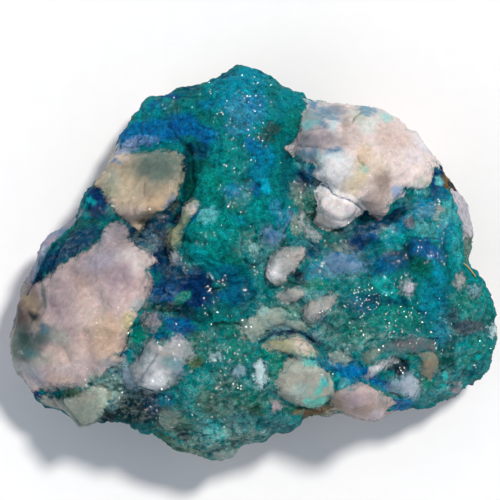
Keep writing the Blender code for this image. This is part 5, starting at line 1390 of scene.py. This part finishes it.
def glintSpots(stone, rng):
    # crystals that turn one facet so that it mirrors the key light upward
    tree = BVHTree.FromObject(stone, bpy.context.evaluated_depsgraph_get())
    halfway = np.array((directionOf(keyLight) + Vector((0, 0, 1))).normalized())
    places, facets, sideways = [], [], []
    for x, y, spread, count in glintClusters:
        taken = []
        for _ in range(round(count * glint["share"])):
            angle, reach = rng.uniform(0, math.tau), spread * glint["spread"] * math.sqrt(rng.random())
            place = faceBelow(tree, x + math.cos(angle) * reach, y + math.sin(angle) * reach)
            if place is None or any((place - other).length < glint["apart"] for other in taken):
                continue
            taken.append(place)
            facet = halfway + rng.normal(0, math.radians(glint["tilt"]), 3)
            facet = facet / np.linalg.norm(facet)
            across = np.cross(facet, rng.normal(0, 1, 3))
            places.append(place)
            facets.append(facet)
            sideways.append(across / np.linalg.norm(across))
    print("glints:", len(places))
    return np.array(places), np.array(facets), np.array(sideways)


def faceBelow(tree, x, y):
    # the stone's surface straight below a place, in mm, or None
    return tree.ray_cast(Vector((x * mm, y * mm, 0.1)), Vector((0, 0, -1)))[0]


def aroundAxis(axes):
    # two directions square to each axis
    helper = np.where(np.abs(axes[:, 2:]) < 0.9, [[0, 0, 1.0]], [[1.0, 0, 0]])
    first = unit(np.cross(axes, helper))
    return first, np.cross(axes, first)


def crystalPiece(name, places, axes, sizes, turns, fields):
    # six-sided quartz tips, all in one mesh
    count = len(places)
    first, second = aroundAxis(axes)
    rise = math.tan(math.radians(druse["facetSlope"])) * math.cos(math.tau / 12)
    corners = []
    for i in range(6):
        angle = (turns + i * math.tau / 6)[:, None]
        reach = first * np.cos(angle) + second * np.sin(angle)
        corners.append(places + (reach - axes * druse["sink"]) * sizes[:, None])
    tips = places + axes * (sizes * (rise - druse["sink"]))[:, None]
    points = np.stack([*corners, tips], axis=1)
    facets = np.array([[i, (i + 1) % 6, 6] for i in range(6)])[None] + np.arange(count)[:, None, None] * 7
    mesh = bpy.data.meshes.new(name)
    mesh.from_pydata(points.reshape(-1, 3).tolist(), [], facets.reshape(-1, 3).tolist())
    fields["hollow"] = np.zeros(count)
    storeFields(mesh, {field: np.repeat(values, 7, axis=0) for field, values in fields.items()})
    print(name, "has", count, "crystals")
    return placed(name, mesh)


strawFibre = {
    "path": [(47.1, -0.2), (48.2, -1.1), (49.1, -2.2), (49.9, -3.2)], "lift": (0.1, 0.9, 0.8, 0.2),
    "radius": 0.16 * mm, "sides": 6, "colours": ("8a6634", "d8b878"), "roughness": 0.5,
}


def makeFibre(stone):
    # a stiff bit of straw caught on the rim: a thin tube along a bowed line
    tree = BVHTree.FromObject(stone, bpy.context.evaluated_depsgraph_get())
    spine = [
        faceBelow(tree, x, y) + Vector((0, 0, lift * mm))
        for (x, y), lift in zip(strawFibre["path"], strawFibre["lift"])
    ]
    across = (spine[-1] - spine[0]).cross(Vector((0, 0, 1))).normalized()
    upward = across.cross((spine[-1] - spine[0]).normalized())
    sides = strawFibre["sides"]
    angles = [i * math.tau / sides for i in range(sides)]
    ring = [(across * math.cos(a) + upward * math.sin(a)) * strawFibre["radius"] for a in angles]
    points = [tuple(place + corner) for place in spine for corner in ring]
    faces = [tuple(range(sides))[::-1], tuple(range(len(points) - sides, len(points)))]
    for start in range(0, len(points) - sides, sides):
        for i in range(sides):
            other = (i + 1) % sides
            faces.append((start + i, start + other, start + other + sides, start + i + sides))
    mesh = bpy.data.meshes.new("straw_fibre")
    mesh.from_pydata(points, [], faces)
    r = Recipe(bpy.data.materials.new("straw"))
    dark, pale = ((*linear(value), 1) for value in strawFibre["colours"])
    tone = r.mix(r.cloud(r.places(), 0.5), dark, pale)
    shine = {"Base Color": tone, "Roughness": strawFibre["roughness"]}
    mesh.materials.append(r.finish(r.add("BsdfPrincipled", None, shine)))
    return placed("straw_fibre", mesh)


floorLook = {"size": 3, "grain": 4, "colours": ((0.87, 0.87, 0.87, 1), (0.90, 0.90, 0.90, 1))}


def makeFloor():
    bpy.ops.mesh.primitive_plane_add(size=floorLook["size"])
    floor = bpy.context.object
    floor.name = "floor"
    r = Recipe(bpy.data.materials.new("pale floor"))
    tone = r.mix(r.cloud(r.places(), floorLook["grain"], 3, 0.5), *floorLook["colours"])
    floor.data.materials.append(r.finish(r.add("BsdfDiffuse", None, {"Color": tone})))


def makeSun(name, look):
    lamp = bpy.data.lights.new(name, "SUN")
    lamp.energy = look["strength"]
    lamp.color = look["colour"]
    lamp.angle = math.radians(look["softness"])
    placed(name, lamp).rotation_euler = directionOf(look).to_track_quat("Z", "Y").to_euler()


def makeSky():
    # an even glow from the sides, darker straight above
    r = Recipe(bpy.data.worlds.new("studio"))
    up = r.add("SeparateXYZ", None, {"Vector": r.add("TexCoord", output="Generated")}, "Z")
    glow = r.step(up, sky["sidesEnd"], sky["zenithStart"], sky["sides"], sky["zenith"])
    light = r.add("Background", None, {"Color": (*sky["colour"], 1), "Strength": glow})
    bpy.context.scene.world = r.finish(light, "OutputWorld")


camera = {"middle": (-0.79, 2.72), "height": 801.5, "lens": 250, "sensor": 36}


def makeCamera():
    lens = bpy.data.cameras.new("camera")
    lens.lens = camera["lens"]
    lens.sensor_width = camera["sensor"]
    holder = placed("camera", lens)
    holder.location = (camera["middle"][0] * mm, camera["middle"][1] * mm, camera["height"] * mm)
    bpy.context.scene.camera = holder
    bpy.context.scene.view_settings.view_transform = "Standard"


def placePiece(piece, material):
    piece.data.materials.clear()
    piece.data.materials.append(material)
    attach(piece, "root")


makeCamera()
makeSun("key", keyLight)
makeSun("fill", fillLight)
makeSky()
makeFloor()
stone, lumps = fineStone()
paintStone(stone, lumps)
placePiece(stone, stoneMaterial("quartz_and_chrysocolla"))
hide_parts("chrysocolla_stone")
for name, part in druseParts.items():
    gloss = {"roughness": druse["roughness"], "specular": part["specular"]}
    placePiece(druseCrystals(stone, lumps, name), stoneMaterial(name, gloss))
placePiece(glintCrystals(stone, lumps), stoneMaterial("glinting druse", glint))
fibre = makeFibre(stone)
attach(fibre, "root")
print("pieces placed")
